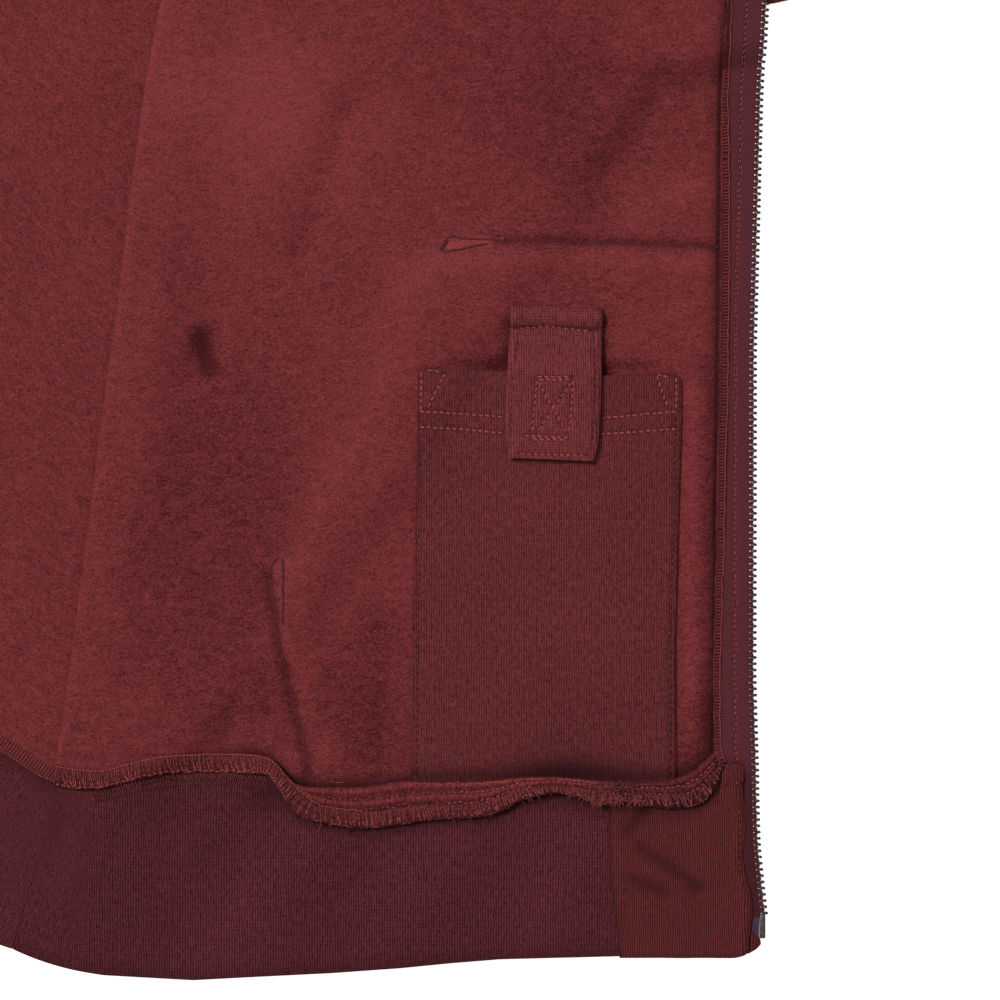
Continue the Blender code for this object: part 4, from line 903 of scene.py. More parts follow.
# rows of topstitching (u, v)
pocketRows = (
    ((0.1352, 0.2202), (0.118, 0.2192), (0.1008, 0.2179)), ((0.063, 0.2173), (0.048, 0.2188), (0.0312, 0.2203)),
    ((0.1352, 0.2139), (0.118, 0.2131), (0.1008, 0.2115)), ((0.063, 0.2111), (0.048, 0.212), (0.0316, 0.2133)),
    ((0.1316, 0.2366), (0.1244, 0.2356)), ((0.1244, 0.2356), (0.128, 0.229), (0.1316, 0.2214)),
    ((0.0402, 0.2348), (0.0328, 0.2338)), ((0.0402, 0.2346), (0.0353, 0.2212)), ((0.134, 0.236), (0.1346, 0.22)),
    ((0.0322, 0.234), (0.0322, 0.22)),
)
pocketSides = (
    ((0.1342, 0.225), (0.135, 0.18), (0.1358, 0.126), (0.1362, 0.0745)),
    ((0.0326, 0.22), (0.033, 0.18), (0.0348, 0.126), (0.0346, 0.0745)),
)


def placePocket(s, t):
    look = phonePocket
    v = look["bottomV"] + (0.2376 - look["bottomV"]) * t
    right, left = readTable(look["right"], v), readTable(look["left"], v)
    u = right + (left - right) * s
    top = readTable(look["top"], u)
    base = seamHeight(u) + 0.0004
    v = base + (top - base) * t
    # rounded upper corners
    for corner, towards in ((0.0, 1), (1.0, -1)):
        near = np.clip(1 - np.abs(s - corner) * 0.107 / look["corner"], 0, 1)
        v -= look["corner"] * (1 - np.sqrt(1 - near ** 2)) * smoothStep((t - 0.9) / 0.1)
    return u, v


def inFromSides(look, u, v):
    return np.minimum(u - readTable(look["right"], v), readTable(look["left"], v) - u)


def pocketRelief(u, v):
    # it gapes at its mouth and puckers along its stitching
    fromTop = readTable(phonePocket["top"], u) - v
    middle = np.sin(np.clip((u - 0.031) / 0.1055, 0, 1) * math.pi)
    height = 0.0014 * middle * ridge(fromTop, 0.010)
    height += 0.0005 * ridge(fromTop - 0.030, 0.012) * middle
    height -= 0.00038 * ridge(nearLines(u, v, pocketRows), 0.0009)
    height -= 0.0005 * ridge(nearLines(u, v, pocketSides), 0.0009)
    height += 0.0004 * softNoise(u, v, 0.022, 21) * middle
    height += 0.0009 * middle * smoothStep((v - 0.080) / 0.03)
    return height - 0.0006 * ridge(inFromSides(phonePocket, u, v), 0.0009)


def pocketTopHeight(points):
    relief = np.maximum(pocketRelief(points[:, 0], points[:, 1]), -0.0006)
    return frontTopHeight(points) + phonePocket["thickness"] + gap + relief


def placePhonePocket(s, t):
    u, v = placePocket(s, t)
    points = joined(u, v)
    height = pocketTopHeight(points) - phonePocket["thickness"] / 2
    fromTop = readTable(phonePocket["top"], u) - v
    dip = ridge(u - 0.076, 0.026)
    # painted shade along its stitching and edges, under its mouth, above the allowance's fold, and darker towards its
    # bottom
    paintedShade = 0.42 * ridge(nearLines(u, v, pocketRows + pocketSides), 0.0007) + 0.25 * ridge(fromTop, 0.0008)
    paintedShade += (0.50 + 0.38 * dip) * ridge(v - 0.0735 - 0.0018 * dip, 0.0042 + 0.003 * dip)
    paintedShade += 0.35 * ridge(inFromSides(phonePocket, u, v), 0.0005) + 0.12 * smoothStep((0.150 - v) / 0.08)
    return joined(opened(points), height), points, np.clip(paintedShade, 0, 1)


pocket = dress(clothSheet("phonePocketCloth", (pocketKnit,), phonePocket["columns"], phonePocket["rows"],
                          placePhonePocket, phonePocket["thickness"]), "phone_pocket")

pocketTab = {
    "left": ((0.201, 0.0986), (0.2088, 0.0996), (0.2162, 0.1002), (0.2368, 0.0993), (0.2488, 0.0983), (0.263, 0.0981)),
    "right": ((0.201, 0.0658), (0.2064, 0.0643), (0.2204, 0.0634), (0.2488, 0.0626), (0.2584, 0.0624), (0.263, 0.0632)),
    "bottom": ((0.063, 0.2002), (0.100, 0.2016)),
    "top": ((0.0625, 0.2609), (0.072, 0.2609), (0.082, 0.2616), (0.092, 0.262), (0.0985, 0.2615)),
    "thickness": 2.2 * mm, "columns": 54, "rows": 92, "corner": 0.0016,
}
tabRows = (
    ((0.0882, 0.2338), (0.08, 0.2336), (0.0732, 0.2339)), ((0.0876, 0.2327), (0.074, 0.2328)),
    ((0.0934, 0.2104), (0.0752, 0.2096)), ((0.09, 0.2092), (0.0756, 0.2088)), ((0.0881, 0.2326), (0.0901, 0.211)),
    ((0.0734, 0.2326), (0.0754, 0.21)), ((0.0876, 0.2318), (0.0758, 0.2112)), ((0.0742, 0.2318), (0.0884, 0.2112)),
    ((0.095, 0.2031), (0.0674, 0.2025)),
    ((0.0956, 0.2534), (0.0892, 0.2538), (0.0862, 0.2545), (0.078, 0.2536), (0.07, 0.2526), (0.0648, 0.2524)),
)
tabSides = (((0.0957, 0.2505), (0.0962, 0.2416), (0.0982, 0.2304), (0.0982, 0.206)),
            ((0.0653, 0.2505), (0.0648, 0.2416), (0.0653, 0.224), (0.0664, 0.205)))


def placeTab(s, t):
    v = 0.201 + 0.0608 * t
    right, left = readTable(pocketTab["right"], v), readTable(pocketTab["left"], v)
    u = right + (left - right) * s
    low, high = readTable(pocketTab["bottom"], u), readTable(pocketTab["top"], u)
    return u, low + (high - low) * t


def tabTopHeight(points):
    u, v = points[:, 0], points[:, 1]
    onPocket = 1 - smoothStep((v - 0.2335) / 0.010)
    pocketTop = phonePocket["thickness"] + gap + np.maximum(pocketRelief(u, v), -0.0004)
    near = np.minimum(nearLines(u, v, tabRows), 0.0004 + nearLines(u, v, tabSides))
    pillow = 0.0008 * ridge(v - 0.2165, 0.020) + 0.0009 * ridge(v - 0.243, 0.008)
    pillow += 0.0016 * ridge(v - 0.2576, 0.0034)
    rounding = 0.001 * ridge(inFromSides(pocketTab, u, v), 0.0008) + 0.0012 * ridge(0.2616 - v, 0.0009)
    return (frontTopHeight(points) + gap + onPocket * pocketTop + pocketTab["thickness"] + pillow
            - 0.0006 * ridge(near, 0.0009) - rounding)


def placeTabCloth(s, t):
    u, v = placeTab(s, t)
    points = joined(u, v)
    # painted shade along its stitching, its sides and its rolled top
    roll = np.abs(v - readTable(((0.062, 0.2537), (0.078, 0.2546), (0.098, 0.2545)), u))
    paintedShade = (0.45 * ridge(nearLines(u, v, tabRows), 0.0007) + 0.25 * ridge(nearLines(u, v, tabSides), 0.0006)
               + 0.55 * ridge(roll, 0.0007))
    height = tabTopHeight(points) - pocketTab["thickness"] / 2
    return joined(opened(points), height), points, np.clip(paintedShade, 0, 1)


tab = dress(clothSheet("pocketTabCloth", (tabKnit,), pocketTab["columns"], pocketTab["rows"], placeTabCloth,
                       pocketTab["thickness"]), "phone_pocket_tab")

random = np.random.default_rng(7)
topstitch = {"pitch": 2.6 * mm, "share": 0.82, "width": 0.86 * mm, "height": 0.7 * mm, "lift": 0.08 * mm,
             "wobble": 0.07 * mm, "slant": 0.07, "holeShades": True}
sideStitch = dict(topstitch, pitch=2.9 * mm, share=0.45, width=0.42 * mm, height=0.35 * mm, lift=0.0,
                  finish=sergeThread)
stitchRows("pocketTopstitch", pocketRows, pocketTopHeight, topstitch, opened, random)
stitchRows("pocketSideStitch", pocketSides, pocketTopHeight, sideStitch, opened, random)
stitchRows("tabStitch", tabRows, tabTopHeight, topstitch, opened, random)
stitchRows("tabSideStitch", tabSides, tabTopHeight, sideStitch, opened, random)
# dark strips of painted shade along the creased edges
for number, (width, line) in enumerate(creaseShadeStrips):
    crease = dict(topstitch, pitch=1.5 * mm, share=1.7, width=width * 2.1 * mm, height=0.3 * mm, lift=0.02 * mm,
                  wobble=0.06 * mm, slant=0, holeShades=False, finish=creaseShade)
    stitchRows(f"edgeCrease{number}", (line,), frontTopHeight, crease, opened, random)
print("phone pocket and tab made")


# the allowance's fold, and the upper and lower side of its serged band: (u, v, u, v, u, v, lift) in mm
allowanceRows = (
    (280.0, 78.4, 280.0, 78.8, 280.0, 70.6, 0.3), (272.0, 76.8, 272.0, 77.2, 272.0, 69.4, 0.3),
    (262.0, 76.2, 262.0, 76.6, 262.0, 69.4, 0.3), (250.0, 79.2, 250.0, 79.6, 250.0, 72.6, 0.3),
    (238.0, 81.8, 238.0, 82.2, 238.0, 75.0, 0.3), (226.0, 82.2, 226.0, 82.6, 226.0, 75.3, 0.3),
    (204.8, 82.2, 204.8, 82.6, 204.8, 75.3, 0.4), (197.2, 81.4, 197.2, 81.8, 198.8, 75.2, 0.7),
    (193.2, 79.2, 192.8, 79.6, 195.6, 74.4, 1.2), (189.6, 75.3, 189.2, 75.6, 192.8, 71.2, 1.7),
    (186.4, 71.6, 186.0, 71.8, 190.4, 68.0, 2.0), (183.6, 70.2, 183.2, 68.8, 188.4, 64.4, 2.0),
    (180.4, 69.4, 180.4, 66.0, 185.6, 61.0, 1.7), (177.6, 69.3, 177.6, 64.0, 181.6, 58.0, 1.3),
    (174.0, 69.2, 174.0, 62.4, 176.4, 56.2, 0.9), (168.8, 69.2, 168.8, 61.2, 170.0, 54.8, 0.6),
    (160.0, 69.2, 160.0, 60.4, 160.0, 53.4, 0.4), (150.8, 70.4, 150.8, 61.0, 150.8, 53.6, 0.4),
    (142.8, 71.4, 142.8, 62.0, 142.4, 54.8, 0.4), (137.2, 71.9, 137.2, 62.4, 136.8, 55.8, 0.4),
    (128.8, 71.8, 128.8, 62.8, 128.4, 57.0, 0.5), (120.0, 71.8, 120.0, 63.2, 120.0, 57.4, 0.6),
    (110.8, 72.0, 110.8, 64.0, 110.8, 58.0, 0.8), (102.8, 72.4, 102.8, 66.4, 102.4, 60.4, 1.1),
    (96.8, 73.0, 96.8, 68.8, 96.4, 63.6, 1.5), (90.8, 73.4, 90.8, 70.2, 90.4, 65.8, 2.0),
    (83.2, 73.4, 83.2, 71.0, 83.2, 67.6, 2.4), (75.2, 73.0, 75.2, 70.4, 75.2, 67.2, 2.2),
    (68.8, 72.4, 68.8, 69.6, 69.2, 65.0, 1.7), (62.8, 71.8, 62.8, 68.8, 62.8, 63.6, 1.4),
    (55.6, 71.4, 55.6, 68.6, 55.6, 63.8, 1.2), (50.0, 71.2, 50.0, 68.0, 49.6, 63.6, 1.0),
    (43.6, 71.4, 43.6, 67.2, 42.8, 62.4, 0.9), (36.8, 72.0, 36.4, 66.8, 36.0, 61.5, 1.0),
    (30.8, 73.4, 30.0, 67.0, 29.2, 61.6, 1.2), (24.8, 76.6, 23.6, 69.2, 22.4, 63.6, 1.5),
    (20.4, 80.2, 19.6, 73.0, 17.6, 67.8, 1.7), (17.4, 82.8, 17.2, 76.0, 15.2, 72.0, 1.5),
    (15.6, 84.6, 15.4, 78.0, 14.0, 75.4, 1.0), (14.6, 85.2, 14.3, 79.4, 13.6, 77.6, 0.6),
)
sergedLow = np.array([row[4:6] for row in allowanceRows]) * mm
sergedLow = sergedLow[np.argsort(sergedLow[:, 0])]


def allowanceShade(u, v):
    # the band is dark close under the serged edge
    below = np.maximum(np.interp(u, sergedLow[:, 0], sergedLow[:, 1]) - v, 0)
    turning = np.exp(-((u - 0.196) ** 2 + (v - 0.068) ** 2) / 0.0095 ** 2)
    near = ridge(below, 0.0042 + 0.002 * ridge(u - 0.06, 0.02)) * smoothStep((0.196 - u) / 0.01)
    return np.clip(near * smoothStep((u - 0.013) / 0.006) + 0.9 * turning, 0, 1)


hemSag = ((-0.06, 0.0), (0.0, 0.0016), (0.0548, 0.0016), (0.1028, 0.0004), (0.1228, -0.0012), (0.1428, -0.0032),
          (0.1708, -0.0052), (0.2028, -0.0068), (0.226, -0.008), (0.262, -0.006), (0.300, 0.0))


def bandPlan(along, v):
    # the band is straight, then bends round the corner of hem and side seam
    outerRadius = turnRadius + hemDepth
    tangent = outerRadius * math.tan(openAngle / 2)
    angle = openAngle / 2 * (1 + np.clip(along / tangent, -1, 1))
    centre = np.array((hinge[0] - tangent, outerRadius))
    bend = centre + (outerRadius - v)[:, None] * joined(np.sin(angle), -np.cos(angle))
    past = np.where(along < 0, np.minimum(along + tangent, 0), np.maximum(along - tangent, 0))
    direction = np.where(along < 0, 0.0, openAngle)
    return bend + past[:, None] * joined(np.cos(direction), np.sin(direction))


def riseToFront(u, seam):
    # from the band's top to the front's, at the seam
    return frontTopHeight(joined(u, seam)) - rib


def bandSheet(name, finish, node, across, along, start, end, look):
    level, follows = look["level"], look["follows"]
    def place(s, t):
        distance = start + (end - start) * s
        u = hinge[0] - distance
        seam = (seamHeight(u) if follows else hemDepth + 0 * u) - gap
        sag = look["sag"](u)
        v = seam * t + sag * (1 - t)
        ease = np.sin(np.clip(t, 0, 1) * math.pi) * smoothStep((u - 0.058) / 0.015)
        height = level + rib / 2 + look["wave"] * (1 + softNoise(distance, v, 0.030, look["seed"])) * ease
        height += 0.0003 * softNoise(distance, v, 0.008, look["seed"] + 1) * ease
        # painted shade at its seam and foot, under the allowance and in soft random patches
        paintedShade = 0.45 * ridge(v - seam, 0.004) + 0.20 * ridge(v - sag, 0.003)
        if follows:
            height += (riseToFront(u, seam) - 0.0003) * smoothStep((v - seam + 0.026) / 0.024)
            patchyShade = softNoise(u + v * 0.6, v * 0.5, 0.030, 45) * 0.12 + 0.10
            paintedShade = 0.35 * ridge(v - sag, 0.0045) + 0.62 * allowanceShade(u, v) + np.maximum(patchyShade, 0)
        points = joined(look["plan"](distance, v), np.maximum(height, rib / 2))
        return points, joined(distance, v), np.clip(paintedShade, 0, 1)
    return dress(clothSheet(name, (finish,), across, along, place, rib * 0.9), node)


def straightBand(base, v):
    t = v / hemDepth
    past = smoothStep((base - endWidth) / (hemSeamHalf - endWidth))
    u = base - (hemSeamHalf - body["hemEdgeHalf"]) * past * (1 - t)
    return joined(-u, v + (hemSeam(u) - hemDepth) * t)


lyingBand = {"plan": bandPlan, "level": 0.0, "sag": lambda u: 0 * u, "wave": 0.0002, "seed": 33, "follows": False}
leftBand = dict(lyingBand, sag=lambda u: readTable(hemSag, u), wave=0.0005, seed=31, follows=True)
rightBand = dict(lyingBand, plan=straightBand, level=rib + gap, wave=0.0004, seed=35)
ribLeft = bandSheet("ribLeftCloth", ribKnit, "hem_rib_left", 170, 46, gap / 2,
                    hinge[0] - endWidth - gap / 2, leftBand)
ribBack = bandSheet("ribBackCloth", ribKnit, "hem_rib_back", 200, 24, -hemSeamHalf - hinge[0], -gap / 2,
                    lyingBand)

endPiece = {
    "left": ((-0.004, 0.0546), (0.0016, 0.0548), (0.0248, 0.0572), (0.0368, 0.0588), (0.060, 0.0592), (0.090, 0.0592)),
    "right": softTable(((0.0, 0.0034), (0.0056, 0.0036), (0.0108, 0.0029), (0.0168, 0.0022), (0.0204, 0.002),
                        (0.0264, 0.0026), (0.0344, 0.0044), (0.0416, 0.0054), (0.0448, 0.005), (0.052, 0.0044),
                        (0.0596, 0.0047), (0.0696, 0.0059), (0.0735, 0.0052), (0.0796, 0.0049)), 0.001),
    "creases": (
        (0.012, 0.034, 0.046, 0.052, 0.004, -0.0007, 0.002), (0.020, 0.030, 0.052, 0.040, 0.004, 0.0007, -0.002),
        (0.010, 0.020, 0.030, 0.028, 0.005, -0.0005, 0.002), (0.030, 0.010, 0.052, 0.022, 0.006, 0.0006, 0.002),
        (0.034, 0.056, 0.056, 0.066, 0.004, -0.0006, 0.001),
    ),
    # painted shade: dark streaks where its creases fall in shade
    "shadeStreaks": (((0.047, 0.0455), (0.038, 0.04), (0.024, 0.03)), ((0.05, 0.033), (0.038, 0.028)),
                ((0.045, 0.06), (0.052, 0.052))),
    # rows of stitches through its folded side
    "sideRows": (((0.0084, 0.0785), (0.007, 0.064), (0.0062, 0.048), (0.0066, 0.034)),),
    "topRows": (((0.0158, 0.0706), (0.0112, 0.07)), ((0.0092, 0.0716), (0.0054, 0.0714)),
                ((0.016, 0.0778), (0.0062, 0.0784))),
}


def placeEndPiece(s, t):
    v = 0.0796 * t
    right, left = endPiece["right"](v), readTable(endPiece["left"], v)
    u = right + (left - right) * s
    v = 0.001 + (seamHeight(u) - gap - 0.001) * t
    corner = np.clip(1 - s * 0.05 / 0.006, 0, 1)
    return u, v + 0.0036 * (1 - np.sqrt(1 - corner ** 2)) * (1 - smoothStep(t / 0.15))


def endPieceHeight(points):
    u, v = points[:, 0], points[:, 1]
    seam = seamHeight(u)
    height = rib + creases(u, v, endPiece["creases"]) + 0.0004 * (1 + softNoise(u, v, 0.022, 41))
    height += 0.00035 * softNoise(u, v, 0.009, 43)
    edge = u - endPiece["right"](v)
    height += 0.0006 * ridge(edge - 0.0022, 0.0016) - 0.0007 * ridge(edge, 0.0008)
    height -= 0.0006 * ridge(nearLines(u, v, endPiece["sideRows"] + endPiece["topRows"]), 0.001)
    step = riseToFront(u, seam) + 0.0016 * smoothStep((0.021 - u) / 0.005)
    height = np.maximum(height, rib + 0.0005 * smoothStep((u - 0.0525) / 0.001))
    return height + step * smoothStep((v - seam + 0.024) / 0.021)


def placeEndCloth(s, t):
    u, v = placeEndPiece(s, t)
    points = joined(u, v)
    # painted shade along its stitching, edges and foot, in its creases and under the allowance
    rows = nearLines(u, v, endPiece["sideRows"] + endPiece["topRows"])
    paintedShade = 0.35 * ridge(rows, 0.0008) + 0.60 * ridge((s - 1) * 0.05, 0.001)
    paintedShade += 0.25 * ridge(t * hemDepth, 0.002) + 0.35 * ridge(u - endPiece["right"](v), 0.0006)
    paintedShade += 0.60 * allowanceShade(u, v) * smoothStep((u - 0.016) / 0.004)
    for streak in endPiece["shadeStreaks"]:
        paintedShade += 0.50 * ridge(nearLines(u, v, (streak,)), 0.0028)
    height = np.maximum(endPieceHeight(points) - rib * 0.45, rib / 2)
    return joined(opened(points), height), points, np.clip(paintedShade, 0, 1)


hemEnd = dress(clothSheet("hemEndLeftCloth", (endKnit,), 64, 92, placeEndCloth, rib * 0.8), "hem_end_left")
stitchRows("hemEndStitch", endPiece["sideRows"] + endPiece["topRows"], endPieceHeight,
           dict(sideStitch, share=0.5, holeShades=False), opened, random)
ribRight = bandSheet("ribRightCloth", ribKnit, "hem_rib_right", 110, 28, endWidth + gap / 2, hemSeamHalf,
                     rightBand)
endRight = bandSheet("hemEndRightCloth", endKnit, "hem_end_right", 30, 32, zipStand,
                     endWidth - gap / 2, dict(rightBand, seed=37))
print("hem band made")

# the hem seam's serged allowance, folded up to this share of its width
allowance = {"columns": 390, "rows": 36, "thickness": 1.1 * mm, "foldShare": 0.46}
foldShare = allowance["foldShare"]
allowanceTable = np.array(allowanceRows) * mm


def foldAndBand(s):
    # shares across the folded part and across the serged band
    return np.clip(s / foldShare, 0, 1), np.clip((s - foldShare) / (1 - foldShare), 0, 1)


def allowancePoint(s, t):
    # from the seam's fold over the serged band to its lower side
    table = smoothRows(allowanceTable, t)
    fold, upper, lower = table[:, 0:2], table[:, 2:4], table[:, 4:6]
    first, second = foldAndBand(s)
    return fold + (upper - fold) * first[:, None] + (lower - upper) * second[:, None], table[:, 6]


def underAllowance(points):
    # top of whatever lies under the allowance
    u, v = points[:, 0], points[:, 1]
    seam = seamHeight(u)
    onBand = smoothStep((seam - v) / 0.022)
    return frontTopHeight(joined(u, np.maximum(v, seam))) * (1 - onBand) + (rib + 0.0009) * onBand


def allowanceTop(s, t):
    points, lift = allowancePoint(s, t)
    u = points[:, 0]
    fold, across = foldAndBand(s)
    open = smoothStep((0.186 - u) / 0.010) * smoothStep((u - 0.012) / 0.006)
    # two soft ridges on the folded part, then the serged band with a bead on its edge
    ridges = 0.0008 * ridge(fold - 0.22, 0.17) + 0.0007 * ridge(fold - 0.74, 0.15)
    band = 0.001 * np.sin(across * math.pi) ** 0.5
    knee = 0.0004 * ridge(np.where(s < foldShare, (1 - fold) * 1.2, across), 0.14) * open
    wave = 0.0004 * softNoise(u, s * 0.012, 0.007, 51) + 0.0003 * softNoise(u, s * 0.012, 0.003, 53)
    drop = 0.001 * np.clip((across - 0.9) / 0.1, 0, 1) ** 2 + 0.0009 * (1 - np.clip(s / 0.06, 0, 1)) ** 2
    return points, (underAllowance(points) + allowance["thickness"] + lift + ridges * open + band - knee + wave
                    - drop)


def placeAllowance(s, t):
    points, top = allowanceTop(s, t)
    u, along = points[:, 0], smoothRows(allowanceTable, t)[:, 0]
    fold, across = foldAndBand(s)
    open = smoothStep((0.186 - u) / 0.010)
    # painted shade in the allowance's folds, over its serged band and towards the zip
    paintedShade = (0.35 * ridge(fold, 0.06) + 0.55 * ridge(fold - 0.48, 0.11)) * open
    paintedShade += 0.60 * ridge(s - foldShare, 0.05) * open + 0.60 * ridge(across - 1, 0.14) + 0.50 * (across > 0)
    paintedShade += 0.42 * smoothStep((0.066 - u) / 0.016) + 0.10 * softNoise(along * 3, s * 0.01, 0.006, 47)
    height = top - allowance["thickness"] / 2
    return joined(opened(points), height), joined(along, 0.05 + s * 0.013), np.clip(paintedShade, 0, 1)


strip = dress(clothSheet("sergedAllowanceCloth", (sergedKnit,), allowance["rows"], allowance["columns"],
                         placeAllowance, allowance["thickness"]), "hem_seam_allowance")


def onAllowance(s, t, lift=0.0):
    points, top = allowanceTop(s, t)
    return joined(opened(points), top + lift)


random = np.random.default_rng(11)
evenShares = np.linspace(0, 1, 600)
tableLine = smoothRows(allowanceTable, evenShares)
bandAlong = distances(tableLine[:, 2:4])


def onBandAt(share, distance, lift):
    # on the allowance, by share across and distance along its serged band
    return onAllowance(share, np.interp(distance, bandAlong, evenShares), lift)


serging = {"pitch": 1.05 * mm, "width": 0.52 * mm, "height": 0.6 * mm, "lean": 0.5 * mm, "bead": 1.5 * mm,
           "lift": 0.32 * mm, "upperBeadEnd": 0.132}
at = np.arange(0.4 * mm, bandAlong[-1] - 0.4 * mm, serging["pitch"])
count = len(at)
at = at + random.normal(0, 0.16 * mm, count)
near = foldShare + 0.03 + random.normal(0, 0.022, count)
middle = foldShare + 0.27 + random.normal(0, 0.05, count)
far = 0.975 + random.normal(0, 0.022, count)
lean = serging["lean"] * (1 + random.normal(0, 0.9, count))
for name, finish, first, second, shift in (("sergeLoopsUpper", sergeThread, near, middle, 0),
                                           ("sergeLoopsLower", seamThread, middle, far, 1)):
    repeatForm(name, finish, lintForm, onBandAt(first, at + lean * shift, serging["lift"]),
               onBandAt(second, at + lean * (shift + 1), serging["lift"]), serging["width"], serging["height"], 0, 1.1)
at = np.arange(0, bandAlong[-1], serging["bead"])
for name, finish, share, spread, end, lift, width in (
        ("sergeBeadLower", sergeThread, 0.985, 0.015, 1.0, 0.2, 0.7),
        ("sergeBeadUpper", seamThread, foldShare, 0.012, serging["upperBeadEnd"], 0.15, 0.55)):
    part = at[at < end]
    edge = share + random.normal(0, spread, len(part))
    repeatForm(name, finish, stitchForm, onBandAt(edge[:-1], part[:-1], lift * mm),
               onBandAt(edge[1:], part[1:], (lift + 0.15) * mm), width * mm, (0.6 if width > 0.6 else 0.5) * mm)

# chain stitches along the allowance: (share across, from, to, pitch, thread, width) by distance along the band
chains = ((0.22, 0.170, 0.282, 2.1, seamThread, 0.60), (0.235, 0.100, 0.170, 2.1, sergeThread, 0.50),
          (foldShare - 0.01, 0.165, 0.282, 2.2, seamThread, 0.62),
          (foldShare - 0.01, 0.105, 0.165, 2.2, sergeThread, 0.5),
          (0.03, 0.150, 0.225, 1.7, seamThread, 0.60), (0.93, 0.0, 0.095, 2.2, seamThread, 0.5))
for number, (share, start, end, pitch, finish, width) in enumerate(chains):
    at = np.arange(start, min(end, bandAlong[-1]), pitch * mm)
    across = share + random.normal(0, 0.014, len(at))
    tips = across + random.normal(0, 0.006, len(at))
    repeatForm(f"allowanceChain{number}", finish, stitchForm, onBandAt(across, at, 0.32 * mm),
               onBandAt(tips, at + pitch * 0.8 * mm, 0.34 * mm), width * mm, 0.5 * mm)


def onBand(u, v, lift):
    # on the band's upper edge
    seam = seamHeight(u)
    rise = (riseToFront(u, seam) - 0.0003) * smoothStep((v - seam + 0.026) / 0.024)
    return joined(opened(joined(u, v)), np.maximum(rib * 0.95 + 0.0004 + rise, rib) + lift)


# coverstitch where the allowance is turned up: slanted threads between two lines
coverRows = {"pitch": 0.95 * mm, "depth": 5.6 * mm, "width": 0.48 * mm, "height": 0.5 * mm, "lean": 1.1 * mm,
             "spread": 0.10 * mm, "from": 0.1965, "to": 0.266, "linePitch": 2.2 * mm, "lineLength": 1.9 * mm}
at = np.arange(coverRows["from"], coverRows["to"], coverRows["pitch"])
top = seamHeight(at) - 0.7 * mm
half = coverRows["depth"] / 2 + 0.2 * mm
for name, low, high, lean in (("coverUpper", half, 0.2 * mm, coverRows["lean"]),
                              ("coverLower", coverRows["depth"], half, -coverRows["lean"])):
    feet, tips = [at + shift + random.normal(0, coverRows["spread"], len(at)) for shift in (0, lean)]
    repeatForm(name, coverThread, stitchForm, onBand(feet, top - low, 0.12 * mm), onBand(tips, top - high, 0.12 * mm),
               coverRows["width"], coverRows["height"], 0, 1.05)
at = np.arange(coverRows["from"] + 2 * mm, coverRows["to"], coverRows["linePitch"])
line = seamHeight(at) - 0.2 * mm
repeatForm("coverLine", seamThread, stitchForm, onBand(at, line, 0.35 * mm),
           onBand(at + coverRows["lineLength"], line, 0.35 * mm), 0.5 * mm, 0.5 * mm)

# frayed ends of the serging thread: (u, how many, longest in mm, share across)
frays = ((0.064, 70, 2.6, 0.90), (0.056, 46, 2.6, 0.95), (0.05, 34, 2.6, 0.85), (0.072, 34, 1.8, 0.95),
         (0.042, 22, 2.2, 0.5), (0.034, 18, 2.0, 0.6), (0.09, 22, 1.8, 1.0), (0.106, 20, 2.0, 1.0),
         (0.122, 16, 1.8, 1.0), (0.14, 10, 1.4, 1.0), (0.164, 10, 1.8, 1.0), (0.176, 14, 1.8, 0.9),
         (0.185, 10, 1.4, 0.8), (0.02, 12, 1.6, 0.8), (0.052, 30, 2.2, 0.10),
         (0.06, 22, 2.0, 0.15), (0.03, 36, 1.8, 0.5), (0.044, 36, 1.8, 0.35), (0.018, 24, 1.5, 0.5))
starts, ends = [], []
byU = tableLine[:, 2]
for atU, count, longest, share in frays:
    for _ in range(count):
        place = np.interp(atU + random.normal(0, 0.0032), byU[::-1], np.linspace(1, 0, 600))
        root = onAllowance(np.array([np.clip(share + random.normal(0, 0.09), 0, 1.02)]), np.array([place]), 0.3 * mm)[0]
        heading = random.uniform(0, 2 * math.pi)
        for _ in range(3):
            length = longest * mm * random.uniform(0.2, 0.5)
            heading += random.normal(0, 0.8)
            rise = random.uniform(-0.1, 0.35) * mm
            tip = root + np.array((math.cos(heading) * length, math.sin(heading) * length, rise))
            starts.append(root)
            ends.append(tip)
            root = tip
half = len(starts) // 2
repeatForm("frayedThread", sergeThread, lintForm, starts[:half], ends[:half], 0.30 * mm, 0.30 * mm, 0.0, 1.15)
# the other half is dark, painted shade between the bright loops
repeatForm("frayedThreadShade", creaseShade, lintForm, starts[half:], ends[half:], 0.32 * mm, 0.30 * mm, 0.0, 1.15)

# loose threads on the nap and under the turn: points in mm
looseThreads = (((173.2, 75.6), (174.6, 74.2), (171.4, 72.2), (168.8, 71.4), (165.2, 71.4)),
                ((174.8, 54.6), (175.2, 52.6), (176.0, 51.6)), ((130.4, 57.4), (131.4, 55.6)))
starts, ends = [], []
for line in looseThreads:
    points = np.array(line) * mm
    placed = joined(opened(points), underAllowance(points) + 0.5 * mm)
    starts += list(placed[:-1])
    ends += list(placed[1:])
repeatForm("looseThread", seamThread, lintForm, starts, ends, 0.28 * mm, 0.28 * mm, 0.0, 1.2)
print("serged allowance made")

zipLook = {"litLegsFrom": 0.150, "toothPitch": 2.51 * mm, "legLength": 1.75 * mm, "legWidth": 0.86 * mm,
           "headLength": 1.6 * mm, "headWidth": 1.35 * mm, "height": 2.0 * mm, "tilt": 0.22 * mm, "first": 0.0188,
           "last": 0.616, "stitchLine": 5.6 * mm, "tapeFrom": 0.0166, "cordFrom": 0.0173, "tapeTo": 0.6196,
           "cordPitch": 1.8 * mm, "cordHeight": 1.4 * mm}
